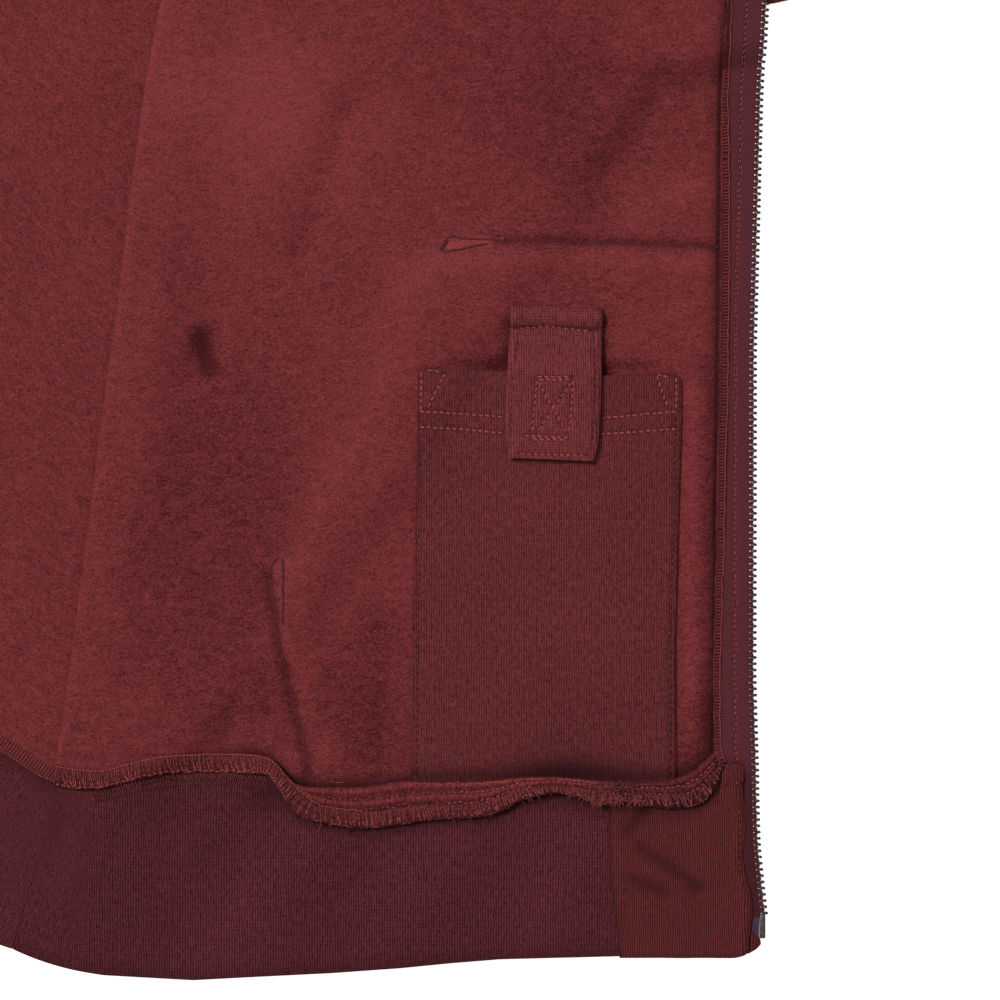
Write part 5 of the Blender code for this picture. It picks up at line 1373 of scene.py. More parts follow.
# width of the facing's overlocked edge, by height
overlockWidth = softTable(((0.0, 0.0024), (0.080, 0.0026), (0.112, 0.0028), (0.200, 0.0034), (0.290, 0.0036),
                           (0.330, 0.0032), (0.347, 0.0025), (0.385, 0.0016), (0.430, 0.002), (0.620, 0.0026)), 0.01)


def tapeHeight(points):
    u, v = points[:, 0], points[:, 1]
    low = 1.1 * mm + 1.0 * mm * smoothStep(v / 0.06)
    onFront = np.maximum(frontTopHeight(joined(np.maximum(u, 0.004), np.maximum(v, 0.084))) + gap, 0.0044)
    # past the hem seam it drops under the band's end piece, and more gently beside it
    under = smoothStep((u - 0.003) / 0.002)
    inBand = 1 - smoothStep((v - 0.062 - 0.015 * under) / (0.020 - 0.0158 * under))
    return onFront * (1 - inBand) + low * inBand + tapeWall


def placeTape(s, t):
    v = zipLook["tapeFrom"] + (zipLook["tapeTo"] - zipLook["tapeFrom"]) * t
    edge = zipBow(v)
    u = edge - 0.0004 + (facingEdge(v) - 0.0006 - edge + 0.0004) * s
    points = joined(u, v)
    stitched = np.abs(u - edge - zipLook["stitchLine"])
    height = tapeHeight(points) - tapeWall / 2 - 0.0003 * ridge(stitched, 0.0008)
    seam = u - (facingEdge(v) - overlockWidth(v) - 0.0003)
    shown = smoothStep((v - 0.150) / 0.03) * (1 - smoothStep((v - 0.330) / 0.03))
    # painted shade at its edge, along its stitching, where it dips under the band, and beside the overlocked seam
    paintedShade = 0.5 * ridge((s - 1) * 0.010, 0.0016) + 0.35 * ridge(stitched, 0.0005)
    paintedShade += 0.50 * (1 - smoothStep((v - 0.070) / 0.014)) + 0.55 * ridge(seam, 0.00035) * shown
    return joined(opened(points), height), joined(u - edge, v), np.clip(paintedShade, 0, 1)


def zipChain(side, plan, bow, height, first, cordOut, cordWidth, cordLift=0.0):
    # a leg across the cord, with a painted highlight far from the hem and painted shade near it, then a rounded head
    # past it, and the cord itself
    look = zipLook
    def row(part, finish, form, v, start, end, width, high):
        edge = bow(v)
        low = height(joined(edge, v))
        ends = [joined(plan(joined(edge - out * mm, v + rise * mm)), low + (0.25 + lift) * mm)
                for out, rise, lift in (start, end)]
        return repeatForm(side + "Teeth" + part, finish, form, *ends, width, high)
    stations = np.arange(first, look["last"], look["toothPitch"])
    long, tilt, litLegs = look["legLength"] / mm, look["tilt"] / mm, stations > look["litLegsFrom"]
    pieces = [row(part, finish, barForm, v, (-0.15, -tilt, 0), (long, 0, 0), look["legWidth"], look["height"])
              for part, finish, v in (("Legs", litLegMetal, stations[litLegs]), ("ShadedLegs", shadedLegMetal, stations[~litLegs]))]
    pieces.append(row("Heads", toothMetal, stitchForm, stations, (long - 0.25, 0.12, 0.12),
                      (long + look["headLength"] / mm, -0.05, -0.05), look["headWidth"], look["height"] * 0.95))
    cordV = np.arange(look["cordFrom"], look["tapeTo"], look["cordPitch"])
    middle = joined(bow(cordV) - cordOut, cordV)
    middle = joined(plan(middle), height(middle) + cordLift)
    cord = repeatForm(side + "ZipCord", coreCord, stitchForm, middle[:-1], middle[1:], cordWidth, look["cordHeight"],
                      0, 1.35)
    return [*pieces, cord]


tape = dress(clothSheet("zipTapeLeftCloth", (tapeTwill,), 26, 400, placeTape, tapeWall), "zip_tape_left")
chain = zipChain("left", opened, zipBow, lambda points: tapeHeight(points) - tapeWall / 2, zipLook["first"],
                 0.85 * mm, 2.5 * mm, 0.1 * mm)

# the facing's overlocked edge: threads across it and a line of beads down each side
overlock = {"from": 0.08, "to": 0.615, "pitch": 1.28 * mm, "width": 0.50 * mm, "height": 0.6 * mm,
            "baseFrom": 0.079, "baseLength": 0.5366}
random = np.random.default_rng(19)
overlockV = np.arange(overlock["from"], overlock["to"], overlock["pitch"])
overlockV = overlockV + random.normal(0, 0.13 * mm, len(overlockV))


def onTape(u, v, lift):
    points = joined(u, v)
    return joined(opened(points), tapeHeight(points) + lift)


# its base between the loops is painted in shade
def placeOverlock(s, t):
    v = overlock["baseFrom"] + overlock["baseLength"] * t
    edge = facingEdge(v)
    height = tapeHeight(joined(edge - 0.002, v)) + 0.05 * mm
    return joined(opened(joined(edge - overlockWidth(v) * s, v)), height), joined(s * 0.003, t * 0.53), 0.85 + 0 * s


wander = 0.30 * mm * softNoise(overlockV, 0 * overlockV, 0.006, 61) + random.normal(0, 0.10 * mm, len(overlockV))
outer, width = facingEdge(overlockV) + wander, overlockWidth(overlockV)
repeatForm("overlockLoops", sergeThread, stitchForm, onTape(outer, overlockV, 0.25 * mm),
           onTape(outer - width, overlockV + 0.25 * mm, 0.25 * mm), overlock["width"], overlock["height"], 0, 1.0)
for name, share, finish in (("overlockOuter", 0.05, sergeThread), ("overlockInner", 0.92, seamThread)):
    bead = onTape(outer - width * share, overlockV, 0.3 * mm)
    repeatForm(name, finish, stitchForm, bead[:-1], bead[1:], 0.42 * mm, 0.5 * mm, 0, 1.05)
base = clothSheet("overlockedEdge", (brushedFleece,), 6, 320, placeOverlock, 0.5 * mm)
tapeStitch = dict(topstitch, pitch=2.3 * mm, share=0.75, width=0.40 * mm, height=0.4 * mm, lift=0.05 * mm,
                  wobble=0.16 * mm, holeShades=False)
lineV = np.linspace(0.080, 0.612, 120)
tapeLines = [joined(zipBow(lineV) + zipLook["stitchLine"] + shift * mm, lineV) for shift in (-0.35, 0.35)]
stitchRows("tapeStitch", tapeLines, tapeHeight, tapeStitch, opened, random)


def plate(name, finish, corners, bottom, top, bevel, segments):
    # a thin plate drawn by its corners (u, v), with softened edges
    piece = startPiece(name, (finish,), bpy.ops.mesh.primitive_circle_add, vertices=len(corners), radius=1,
                       fill_type="NGON")
    placePoints(piece, joined(opened(corners), np.full(len(corners), bottom)))
    if piece.data.polygons[0].normal.z < 0:
        piece.data.flip_normals()
    applyModifier(piece, "SOLIDIFY", thickness=top - bottom, offset=1)
    applyModifier(piece, "BEVEL", width=bevel, segments=segments)
    bpy.ops.object.shade_smooth_by_angle(angle=math.radians(40))
    return piece


dress(plate("zipPinMetal", pinMetal, ((-0.0039, 0.0086), (-0.0015, 0.0086), (-0.0015, 0.0184), (-0.0039, 0.0184)),
            0.5 * mm, 2.6 * mm, 0.55 * mm, 3), "zip_pin")
film = plate("tapeEndFilm", tapeEndFilm, ((0.0026, 0.018), (-0.0014, 0.0178), (-0.0013, 0.009), (0.0002, 0.0092),
                                          (0.0014, 0.012)), 1.6 * mm, 2.1 * mm, 0.08 * mm, 2)

flapRows = ((0.0, 0.005), (0.0028, 0.003), (0.0046, -0.0002), (0.0064, -0.0019), (0.0082, -0.0016), (0.011, 0.0),
            (0.0138, 0.0016), (0.016, 0.003))


def placeFlap(s, t):
    # the band's other layer shows past its corner
    v = 0.0028 + 0.013 * t
    side = readTable(flapRows, v)
    u = side + (0.008 - side) * s
    height = 0.0011 + 0.0005 * np.sin(np.clip((u - side) / 0.004, 0, 1) * math.pi)
    points = joined(u, v)
    # painted shade over the flap, darker along a line near its side
    return joined(opened(points), height), points, 0.15 + 0.25 * ridge(u - 0.0022, 0.0008)


flap = clothSheet("hemEndFlap", (endKnit,), 22, 26, placeFlap, 1.4 * mm)
print("left zip made")


backCreases = (
    (0.060, 0.600, 0.150, 0.480, 0.016, 0.0016, 0.006), (0.050, 0.300, 0.120, 0.220, 0.016, 0.0014, 0.006),
    (0.030, 0.480, 0.100, 0.350, 0.014, 0.0012, -0.008), (0.080, 0.180, 0.190, 0.120, 0.013, 0.0012, 0.004),
)

foldPlan = opened(openPattern(np.ones(40), np.linspace(0, 1, 40)))
foldPlan = foldPlan[np.argsort(foldPlan[:, 1])]


def placeBack(s, t):
    plan = backPlan(s, t)
    x, y = plan[:, 0], plan[:, 1]
    foldX = np.interp(y, foldPlan[:, 1], foldPlan[:, 0])
    free = smoothStep((x - 0.016) / 0.02) * smoothStep((foldX - 0.012 - x) / 0.02) * smoothStep((y - 0.085) / 0.03)
    relief = creases(x, y, backCreases) + 0.0006 * (1 + softNoise(x, y, 0.045, 71))
    # the hem laps a little over the band
    lap = np.exp(-t / 0.008)
    plan[:, 1] -= 0.0013 * lap
    onBand = (rib + 0.0001) * smoothStep(lap * 1.6) * smoothStep((x - 0.010) / 0.02)
    # painted shade along the hem seam
    return joined(plan, fleece / 2 + relief * free + onBand), plan, 0.4 * ridge(y - hemDepth, 0.003)


back = dress(clothSheet("backCloth", (brushedFleece, faceKnit), 110, 120, placeBack, fleece), "back")

rightCreases = (
    (-0.270, 0.470, -0.150, 0.400, 0.012, 0.0034, 0.008), (-0.262, 0.440, -0.180, 0.330, 0.012, 0.0026, 0.006),
    (-0.240, 0.520, -0.120, 0.500, 0.011, 0.0028, -0.008), (-0.215, 0.600, -0.110, 0.560, 0.012, 0.0022, 0.006),
    (-0.260, 0.330, -0.205, 0.200, 0.014, 0.0024, 0.006), (-0.150, 0.330, -0.040, 0.350, 0.014, 0.0018, 0.006),
    (-0.060, 0.560, -0.040, 0.420, 0.010, 0.0016, 0.004), (-0.250, 0.180, -0.200, 0.100, 0.012, 0.0018, -0.004),
    (-0.110, 0.640, -0.070, 0.580, 0.009, 0.0016, 0.003),
)


def rightRelief(x, y):
    free = smoothStep((-0.018 - x) / 0.03) * smoothStep((y - 0.072) / 0.03)
    return (creases(x, y, rightCreases) + 0.0008 * (1 + softNoise(x, y, 0.05, 73))) * free


def rightFrontTop(points):
    x, y = points[:, 0], points[:, 1]
    return rightFrontLow(x, y) + fleece + rightRelief(x, y)


def placeRightFront(s, t):
    plan = mirrored(frontPlan(s, t))
    x, y = plan[:, 0], plan[:, 1]
    side = sideEdge(np.linspace(0, 1, 80))
    ease = smoothStep((np.interp(y, side[:, 1], side[:, 0]) + x) / 0.02)
    fromStitch = -x - 0.0105
    height = rightFrontLow(x, y) + fleece / 2 + rightRelief(x, y) * ease - 0.0003 * ridge(fromStitch, 0.0012)
    # painted shade along the hem seam and the zip's stitching
    paintedShade = 0.5 * ridge(y - hemDepth, 0.003) + 0.35 * ridge(fromStitch, 0.0009)
    return joined(plan, height), plan, np.clip(paintedShade, 0, 1)


rightFront = dress(clothSheet("rightFrontCloth", (faceKnit, brushedFleece), 84, 130, placeRightFront, fleece),
                   "front_right")


def kangarooPattern(s, t):
    (zipU, base), (_, top), (topU, _), (bendU, bendV), (baseU, _) = body["kangaroo"]
    v = base + (top - base) * t
    side = np.interp(v, (base, bendV, top), (baseU, bendU, topU))
    return joined(zipU + (side - zipU) * s, v)


kangarooRows = (((0.009, 0.0705), (0.009, 0.2835), (0.1225, 0.2835)), ((0.1225, 0.287), (0.113, 0.2835)),
                ((0.115, 0.287), (0.1835, 0.16), (0.17, 0.0705)),
                ((0.1215, 0.2835), (0.1895, 0.1625), (0.1755, 0.0705)))


def kangarooTop(points):
    # the pocket gapes a little along its slanted opening
    u, v = points[:, 0], points[:, 1]
    gape = 0.0022 * ridge(nearLines(u, v, (body["kangaroo"][2:4],)), 0.016)
    middle = smoothStep((u - 0.012) / 0.03) * smoothStep((0.280 - v) / 0.03)
    return rightFrontTop(mirrored(points)) + gap + fleece + gape + 0.0006 * (1 + softNoise(u, v, 0.04, 75)) * middle


def placeKangarooRight(s, t):
    pattern = kangarooPattern(s, t)
    near = nearLines(pattern[:, 0], pattern[:, 1], kangarooRows)
    height = kangarooTop(pattern) - fleece / 2 - 0.0004 * ridge(near, 0.0012)
    # painted shade along its stitching
    return joined(mirrored(pattern), height), mirrored(pattern), 0.45 * ridge(near, 0.0009)


def placeKangarooLeft(s, t):
    pattern = kangarooPattern(s, t)
    plan = opened(pattern)
    return joined(plan, overBack(plan[:, 0], plan[:, 1], 1) + fleece / 2), pattern, 0 * s


kangarooRight = dress(clothSheet("kangarooRightCloth", (faceKnit, brushedFleece), 84, 92, placeKangarooRight, fleece),
                      "kangaroo_pocket_right")
kangarooLeft = dress(clothSheet("kangarooLeftCloth", (brushedFleece, faceKnit), 40, 46, placeKangarooLeft, fleece),
                     "kangaroo_pocket_left")

outerStitch = dict(topstitch, pitch=3.4 * mm, holeShades=False, finish=sergeThread)
random = np.random.default_rng(23)
stitchRows("kangarooStitch", kangarooRows, kangarooTop, outerStitch, mirrored, random)
zipRow = joined(np.full(80, 0.0105), np.linspace(0.072, 0.618, 80))
stitchRows("rightZipStitch", (zipRow,), lambda p: rightFrontTop(mirrored(p)), outerStitch, mirrored, random)


def onBackHem(x, rise):
    height = rib + fleece - 0.0012 * smoothStep(rise / 0.004) + 0.0003
    return joined(x, hemSeam(np.abs(x)) + gap + rise, np.full(len(x), height))


# serging along the back's hem, where it shows inside
at = np.arange(0.030, 0.279, 1.3 * mm)
for name, low, high, lean in (("backSergeLoops", -0.8 * mm, 4.8 * mm, 0.4 * mm),
                              ("backSergeBead", -0.9 * mm, -0.9 * mm, 1.3 * mm)):
    repeatForm(name, sergeThread, lintForm, onBackHem(at, low), onBackHem(at + lean, high), 0.55 * mm, 0.5 * mm)
print("back and right front made")


sleeves = {
    "right": ((0.0, 0.214, 15), (0.060, 0.208, -2), (0.120, 0.196, -19), (0.190, 0.184, -30),
              (0.280, 0.168, -33), (0.380, 0.150, -34), (0.470, 0.134, -35), (0.500, 0.104, -35)),
    "left": ((0.0, 0.206, 30), (0.060, 0.172, 43.5), (0.120, 0.158, 46), (0.190, 0.160, 44.5),
             (0.280, 0.162, 42), (0.380, 0.150, 40), (0.470, 0.134, 39), (0.500, 0.104, 39)),
    "centre": (0.2685, 0.5525), "armGap": 0.0005, "facing": 0.3, "slant": 0.16, "bow": 0.12, "roll": 0.0016,
    "crown": 0.002, "crownAtEnds": 0.0003, "cuffRoll": 0.0017, "cuffCrown": 0.0006, "cuffLength": 0.065,
    "cuffWidths": ((0.0, 0.101), (0.3, 0.096), (1.0, 0.098)),
    # ridges over the sleeve, in metres: (along, across, along, across, half width, height, bow)
    "creases": ((0.02, -0.080, 0.120, 0.010, 0.010, 0.003, 0.006), (0.03, -0.090, 0.180, -0.040, 0.011, 0.0026, 0.006),
                (0.190, -0.080, 0.240, 0.040, 0.010, 0.003, 0.010),
                (0.235, -0.075, 0.290, 0.035, 0.009, 0.0026, -0.008),
                (0.270, 0.070, 0.300, -0.030, 0.009, 0.0022, 0.008), (0.360, -0.060, 0.395, 0.050, 0.009, 0.002, 0.006),
                (0.410, 0.060, 0.450, -0.050, 0.008, 0.0022, -0.006),
                (0.445, -0.055, 0.470, 0.045, 0.007, 0.002, 0.004),
                (0.060, 0.080, 0.170, 0.050, 0.010, 0.0018, -0.006)),
}


def sleeveSections(rows):
    rows = np.array(rows, float)
    fine = np.linspace(0, rows[-1, 0], 101)
    headings = np.radians(np.interp(fine, rows[:, 0], rows[:, 2]))
    steps = np.diff(fine)[:, None] * joined(np.cos(headings), np.sin(headings))[:-1]
    centres = np.array(sleeves["centre"]) + np.vstack((np.zeros(2), np.cumsum(steps, axis=0)))
    def section(t):
        at = t * rows[-1, 0]
        centre = np.column_stack([np.interp(at, fine, centres[:, i]) for i in (0, 1)])
        heading = np.radians(np.interp(at, rows[:, 0], rows[:, 2]))
        return centre, joined(-np.sin(heading), np.cos(heading)), np.interp(at, rows[:, 0], rows[:, 1]) / 2
    return section


def flatTube(section, roll, base, crown):
    def point(a, t):
        centre, across, half = section(np.clip(t, 0, 1))
        flat = half - roll
        k = a % 1.0 * 10
        below, right, above = k < 3, (k >= 3) & (k < 5), (k >= 5) & (k < 8)
        turn = np.where(right, (k - 3) / 2, (k - 8) / 2) * math.pi
        side = np.select([below, right, above], [-flat + flat * 2 * k / 3, flat + roll * np.sin(turn),
                                                 flat - flat * 2 * (k - 5) / 3], -flat - roll * np.sin(turn))
        edge = side / flat
        height = np.select([below, right, above], [0 * k, roll * (1 - np.cos(turn)),
                                                   2 * roll + crown(side, t) * (1 - np.clip(edge, -1, 1) ** 2)],
                           roll * (1 + np.cos(turn)))
        return joined(centre + across * side[:, None], base + height)
    return point


def evenAround(a):
    # more columns go to the flat layers than to the side folds
    k = a * 10
    return np.interp(k, (0, 4.4, 5.0, 9.4, 10), (0, 3, 5, 8, 10)) / 10


armhole = np.array(body["armhole"])
chord = armhole[-1] - armhole[0]
chordAlong = (armhole - armhole[0]) @ chord / (chord @ chord)
chordNormal = np.array((-chord[1], chord[0])) / np.linalg.norm(chord)
chordDepth = (armhole - armhole[0]) @ chordNormal


def makeSleeve(sideName, side, covered):
    straight = sleeveSections(sleeves[sideName])
    outward = np.array((math.cos(sleeves["facing"]), math.sin(sleeves["facing"]))) * sleeves["armGap"]
    underarm, shoulder = armhole[0] + outward, armhole[-1] + outward
    def section(t):
        centre, across, half = straight(t)
        under, over = centre - across * half[:, None], centre + across * half[:, None]
        keep = (1 - smoothStep(t / (sleeves["slant"] - covered * 0.30)))[:, None]
        under = under + (underarm - under) * keep
        over = over + (shoulder - over) * keep
        middle, reach = (under + over) / 2, (over - under) / 2
        length = np.linalg.norm(reach, axis=1)
        return middle, reach / length[:, None], length
    def crown(sideways, t):
        rise, sink = smoothStep(t / 0.4), 0.6 * smoothStep((t - 0.8) / 0.2)
        plain = sleeves["crownAtEnds"] + (sleeves["crown"] - sleeves["crownAtEnds"]) * rise * (1 - sink)
        free = smoothStep((t - covered) / 0.06) * smoothStep((1 - t) / 0.03)
        folds = creases(t * 0.5, sideways, sleeves["creases"]) + 0.0005 * (1 + softNoise(t * 0.5, sideways, 0.035, 81))
        return plain + folds * free * 1.25
    tubeMiddle = flatTube(section, sleeves["roll"], fleece / 2, crown)
    def place(a, t):
        a = evenAround(a)
        points = tubeMiddle(a, t)
        centre, across, half = section(np.clip(t, 0, 1))
        offset = np.sum((points[:, :2] - centre) * across, axis=1) / half
        bow = np.interp((offset + 1) / 2, chordAlong, chordDepth)[:, None] * chordNormal
        points[:, :2] += bow * (1 - smoothStep(t / sleeves["bow"]))[:, None]
        return side(points)
    sleeve = dress(clothTube(sideName + "SleeveCloth", (faceKnit, brushedFleece), 60, 100, place, fleece * 0.9, 0.34,
                             0.50), "sleeve_" + sideName)
    end, endAcross, _ = section(np.ones(1))
    forward = np.array((endAcross[0, 1], -endAcross[0, 0]))
    def cuffSection(t):
        at = end + forward * (gap + sleeves["cuffLength"] * t)[:, None]
        return at, np.repeat(endAcross, len(t), axis=0), readTable(sleeves["cuffWidths"], t) / 2
    cuffMiddle = flatTube(cuffSection, sleeves["cuffRoll"], body["cuff"] / 2,
                          lambda sideways, t: sleeves["cuffCrown"] + 0.0004 * softNoise(sideways, t * 0.065, 0.02, 83))
    cuff = dress(clothTube(sideName + "CuffCloth", (ribKnit,), 60, 24, lambda a, t: side(cuffMiddle(evenAround(a), t)),
                           body["cuff"] * 0.9, 0.196, sleeves["cuffLength"]), "cuff_" + sideName)


makeSleeve("right", mirrored, 0.0)
makeSleeve("left", lambda points: points, 0.30)
print("sleeves made")

hoods = {
    "right": ((0.000, 0.668, -0.095, 0.690, 0.000, 0.620), (0.004, 0.712, -0.126, 0.735, -0.024, 0.690),
              (0.010, 0.760, -0.141, 0.790, -0.047, 0.762), (0.017, 0.812, -0.141, 0.850, -0.056, 0.826),
              (0.024, 0.866, -0.116, 0.912, -0.046, 0.876), (0.032, 0.914, -0.066, 0.958, -0.016, 0.906),
              (0.038, 0.948, -0.010, 0.979, 0.016, 0.918), (0.045, 0.968, 0.045, 0.985, 0.045, 0.921)),
    "left": ((0.000, 0.668, 0.213, 0.6834, 0.213, 0.6834), (0.004, 0.712, 0.236, 0.735, 0.231, 0.735),
             (0.010, 0.760, 0.246, 0.790, 0.230, 0.786), (0.017, 0.812, 0.244, 0.850, 0.209, 0.836),
             (0.024, 0.866, 0.220, 0.912, 0.170, 0.878), (0.032, 0.914, 0.168, 0.958, 0.122, 0.906),
             (0.038, 0.948, 0.106, 0.979, 0.078, 0.918), (0.045, 0.968, 0.045, 0.985, 0.045, 0.921)),
    "roll": 0.0028, "rollAtNeck": 0.0013, "neckShare": 0.16, "rimFlat": 0.030, "edgeStrip": 0.015,
    "foldStart": 9 / 18, "foldEnd": 13 / 18, "neckPointShare": 4 / 18, "neckGap": 0.00075,
}
foldStart, foldEnd = hoods["foldStart"], hoods["foldEnd"]
shoulderWedge = ((0.095, 0.690), (0.237, 0.655), (0.237, 0.600), (0.095, 0.600))


def hoodMiddle(rows, neckEdge, supports):
    def unsewn(s, t):
        row = smoothRows(rows, t)
        centre, fold, face = row[:, 0:2], row[:, 2:4], row[:, 4:6]
        folded = smoothStep(np.linalg.norm(face - fold, axis=1) / hoods["rimFlat"])
        roll = hoods["rollAtNeck"] + (hoods["roll"] - hoods["rollAtNeck"]) * smoothStep(t / hoods["neckShare"])
        curl = math.pi * folded
        outward = (fold - centre) / np.maximum(np.linalg.norm(fold - centre, axis=1), 1e-6)[:, None]
        turnFrom = fold - outward * (roll * folded)[:, None]
        kLow = np.clip(s / foldStart, 0, 1)[:, None]
        angle = np.clip((s - foldStart) / (foldEnd - foldStart), 0, 1) * curl
        kTop = np.clip((s - foldEnd) / (1 - foldEnd), 0, 1)
        straightOn = np.clip((s - foldStart) / (1 - foldStart), 0, 1) * hoods["edgeStrip"] * (1 - folded)
        turned = turnFrom + outward * (roll * np.sin(angle) + straightOn)[:, None]
        turnedEnd = turnFrom + outward * (roll * np.sin(curl))[:, None]
        turned += (face - turnedEnd) * (kTop * folded)[:, None]
        plan = np.where((s < foldStart)[:, None], centre + (turnFrom - centre) * kLow, turned)
        height = fleece / 2 + roll * (1 - np.cos(angle))
        onLower = fleece * 1.5 + gap * 2
        return plan, height + (onLower - height) * smoothStep(kTop * 1.2) * folded
    def middle(s, t):
        plan, height = unsewn(s, t)
        atNeck, _ = unsewn(s, 0 * t)
        plan = plan + (neckEdge(s, atNeck) - atNeck) * (1 - smoothStep(t / hoods["neckShare"]))[:, None]
        return joined(plan, height + drape(plan[:, 0], plan[:, 1], supports))
    return middle


def neckGap(points, towards):
    away = np.array(towards) - points
    return points + away / np.linalg.norm(away, axis=1)[:, None] * hoods["neckGap"]


def rightHoodNeck(s, unsewn):
    above = (0.0, 0.75)
    lower = neckGap(mirrored(readCurve(body["backNeckline"], s / foldStart)), above)
    upper = neckGap(mirrored(readCurve(body["frontNeckline"], 1 - (s - foldEnd) / (1 - foldEnd))), above)
    return np.where((s <= foldStart)[:, None], lower, np.where((s < foldEnd)[:, None], unsewn, upper))


def leftHoodNeck(s, unsewn):
    share = hoods["neckPointShare"]
    atBack = readCurve(body["backNeckline"], s / share)
    atFront = opened(readCurve(body["frontNeckline"], 1 - (s - share) / (1 - share)))
    return neckGap(np.where((s <= share)[:, None], atBack, atFront), (0.15, 0.90))


hoodCreases = {
    "right": ((-0.010, 0.700, -0.100, 0.790, 0.012, 0.0022, 0.008),
              (-0.020, 0.860, -0.110, 0.830, 0.012, 0.0024, 0.008),
              (-0.030, 0.740, -0.070, 0.880, 0.012, 0.0018, -0.008),
              (0.000, 0.930, -0.070, 0.920, 0.010, 0.0018, 0.004)),
    "left": ((0.030, 0.720, 0.150, 0.800, 0.014, 0.0026, 0.010), (0.050, 0.860, 0.190, 0.820, 0.013, 0.0026, 0.010),
             (0.120, 0.720, 0.180, 0.860, 0.013, 0.002, -0.010), (0.060, 0.940, 0.150, 0.900, 0.011, 0.0022, 0.006)),
}


def makeHood(name, sideName, side, neckEdge, supports):
    middle = hoodMiddle(hoods[sideName], neckEdge, supports)
    def place(s, t):
        s = np.interp(s, (0, 0.48, 0.56, 1.0), (0, foldStart, foldEnd, 1.0))
        points = middle(s, t)
        points[:, 0] += side * gap
        x, y = points[:, 0], points[:, 1]
        # the halves meet at the crown
        overCrown = ((x - 0.045) * side < gap) & (y > 0.921 - gap)
        points[overCrown, 0] = 0.045 + side * gap
        relief = creases(x, y, hoodCreases[sideName]) + 0.0006 * (1 + softNoise(x, y, 0.04, 91))
        free = np.where(s > foldEnd, smoothStep((s - foldEnd) / 0.08), 1 - smoothStep((s - 0.30) / 0.12))
        points[:, 2] += relief * free * smoothStep(t / 0.15) * smoothStep((1 - t) / 0.12)
        # painted shade along the rim's fold
        rim = 0.5 * ridge((1 - s) * 0.13 - 0.022, 0.0009)
        return points, joined(s * 0.30, t * 0.36), np.clip(rim, 0, 1)
    piece = dress(clothSheet(name, (brushedFleece, faceKnit), 84, 110, place, fleece * 0.95), "hood_" + sideName)


makeHood("hoodRightCloth", "right", -1, rightHoodNeck, ())
makeHood("hoodLeftCloth", "left", 1, leftHoodNeck, ((shoulderWedge, fleece + gap * 4, 0.014, 0.020),))

# seams of the hood, the neck, the right armhole and the hem: (name, line, middle height in mm, thickness in mm)
neckLine, hemU = np.array(body["backNeckline"]), np.linspace(0.200, 0.299, 40)
seamWelts = (("hoodCentreWelt", np.array(hoods["right"])[:-1, :2], 1.3, 2.3), ("neckWelt", neckLine, 1.3, 2.3),
             ("neckWeltRight", mirrored(neckLine), 1.3, 2.3), ("armholeWelt", mirrored(armhole), 2.4, 4.4),
             ("crownWelt", np.array(((0.045, 0.923), (0.045, 0.983))), 3.2, 5.8),
             ("bandWelt", bandPlan(np.zeros(8), np.linspace(0.002, 0.068, 8)), 1.6, 2.8),
             ("sideHemWelt", opened(joined(hemU, seamHeight(hemU) - 0.2 * mm)), 1.7, 3.0))
for name, line, middle, thick in seamWelts:
    rows = np.arange(len(line))
    line = spaced(joined(*[np.interp(np.linspace(0, rows[-1], 60), rows, column) for column in line.T]), 1.6 * mm)
    line = joined(line, np.full(len(line), middle * mm))
    repeatForm(name, coreCord, stitchForm, line[:-1], line[1:], 3.4 * mm, thick * mm, 0, 2.2)
print("hood made")


def rightTapeHeight(points):
    plan = mirrored(points)
    v = points[:, 1]
    base = rightFrontLow(plan[:, 0], plan[:, 1]) - gap - tapeWall / 2
    chainLow = rib + gap + 0.0009 + gap
    into = 1 - smoothStep((v - 0.040) / (hemDepth - 0.0405))
    return base + (chainLow + body["teethStand"] + tapeWall / 2 - base) * into


def placeRightTape(s, t):
    v = zipLook["cordFrom"] + (zipLook["tapeTo"] - zipLook["cordFrom"]) * t
    inner = 0.0027 + (0.016 - 0.0027) * smoothStep((v - 0.0695) / 0.001)
    u = -0.0004 + (inner + 0.0004) * s
    points = joined(u, v)
    return joined(mirrored(points), rightTapeHeight(points)), points, 0 * u


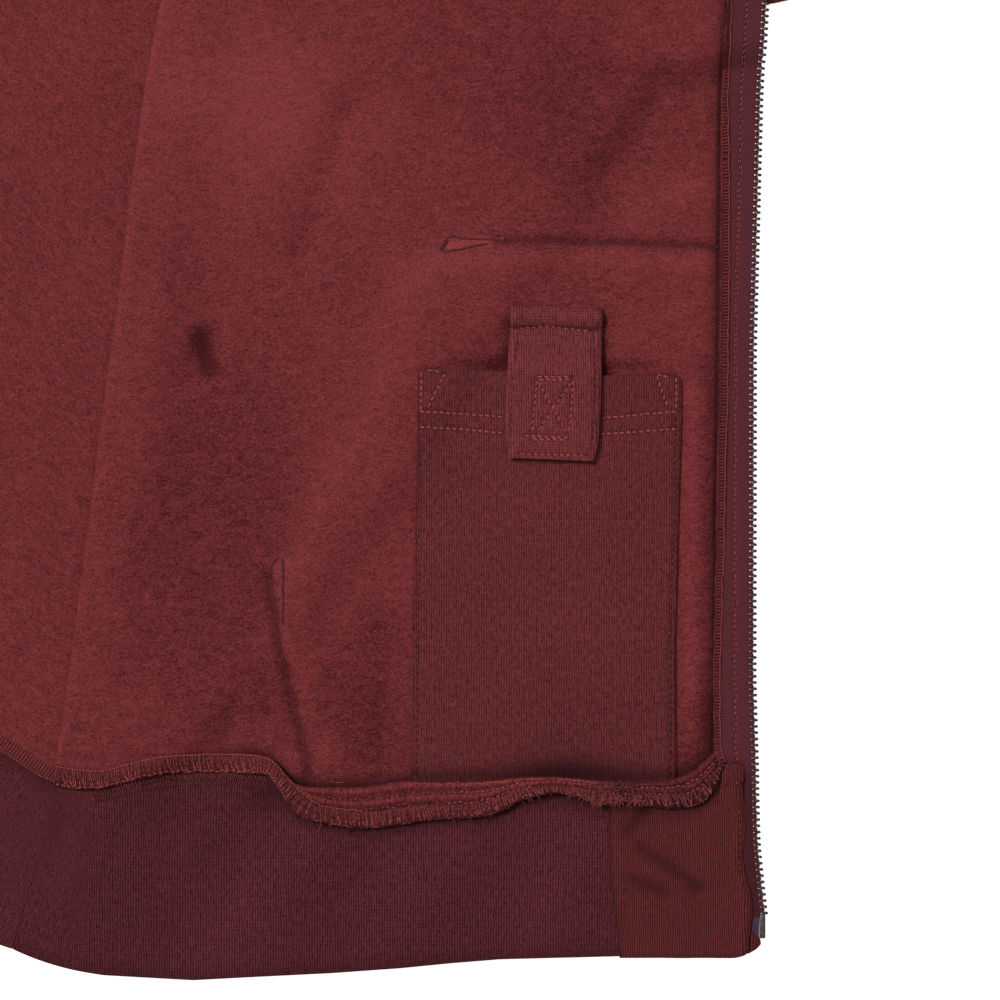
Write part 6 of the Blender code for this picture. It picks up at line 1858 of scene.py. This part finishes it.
rightTape = dress(clothSheet("zipTapeRightCloth", (tapeTwill,), 10, 220, placeRightTape, tapeWall), "zip_tape_right")
rightChain = zipChain("right", mirrored, lambda v: 0 * v, rightTapeHeight, 0.0305, 0.9 * mm, 1.9 * mm)

for node in ("zip_slider", "zip_box", "pull_tab"):
    part = frame["nodes"][node]
    part.data.materials.clear()
    part.data.materials.append(pinMetal if node == "pull_tab" else toothMetal)
print("right zip made")

studio = {"floorSize": 60.0, "floor": (0.90, 0.90, 0.90), "glow": 0.85, "key": 2.9, "keyAngle": 22,
          "keyFrom": (-0.62, 0.45, 0.85), "sky": 0.38, "lens": 85, "height": 0.951, "centre": (0.3643, -0.0375)}
bpy.ops.object.select_all(action="DESELECT")
bpy.ops.mesh.primitive_plane_add(size=studio["floorSize"], location=(0, 0, -0.0004))
floor = bpy.context.object
floor.name = "floor"
floorMaterial, _, floorShader = startMaterial("floorPaper", 0.9)
for socket, value in (("Base Color", (*studio["floor"], 1)), ("Emission Color", (1, 1, 1, 1)),
                      ("Emission Strength", studio["glow"])):
    floorShader.inputs[socket].default_value = value
floor.data.materials.append(floorMaterial)
bpy.ops.object.transform_apply(location=True)

world = bpy.data.worlds.new("studio")
world.use_nodes = True
background = world.node_tree.nodes["Background"]
background.inputs[0].default_value = (1, 1, 1, 1)
background.inputs[1].default_value = studio["sky"]
bpy.context.scene.world = world
sun = bpy.data.lights.new("key", "SUN")
sun.energy = studio["key"]
sun.angle = math.radians(studio["keyAngle"])
keyLight = bpy.data.objects.new("key", sun)
bpy.context.scene.collection.objects.link(keyLight)
# the key comes from the upper left of the view, which is turned by the open front's angle
across, up, above = studio["keyFrom"]
keyDirection = Vector((across * turnCos - up * turnSin, across * turnSin + up * turnCos, above))
keyLight.rotation_euler = keyDirection.to_track_quat("Z", "Y").to_euler()

camera = bpy.data.cameras.new("camera")
camera.lens = studio["lens"]
view = bpy.data.objects.new("camera", camera)
bpy.context.scene.collection.objects.link(view)
view.location = (*studio["centre"], studio["height"])
view.rotation_euler = (0, 0, openAngle)
bpy.context.scene.camera = view
bpy.context.scene.view_settings.view_transform = "Standard"
print("studio made")
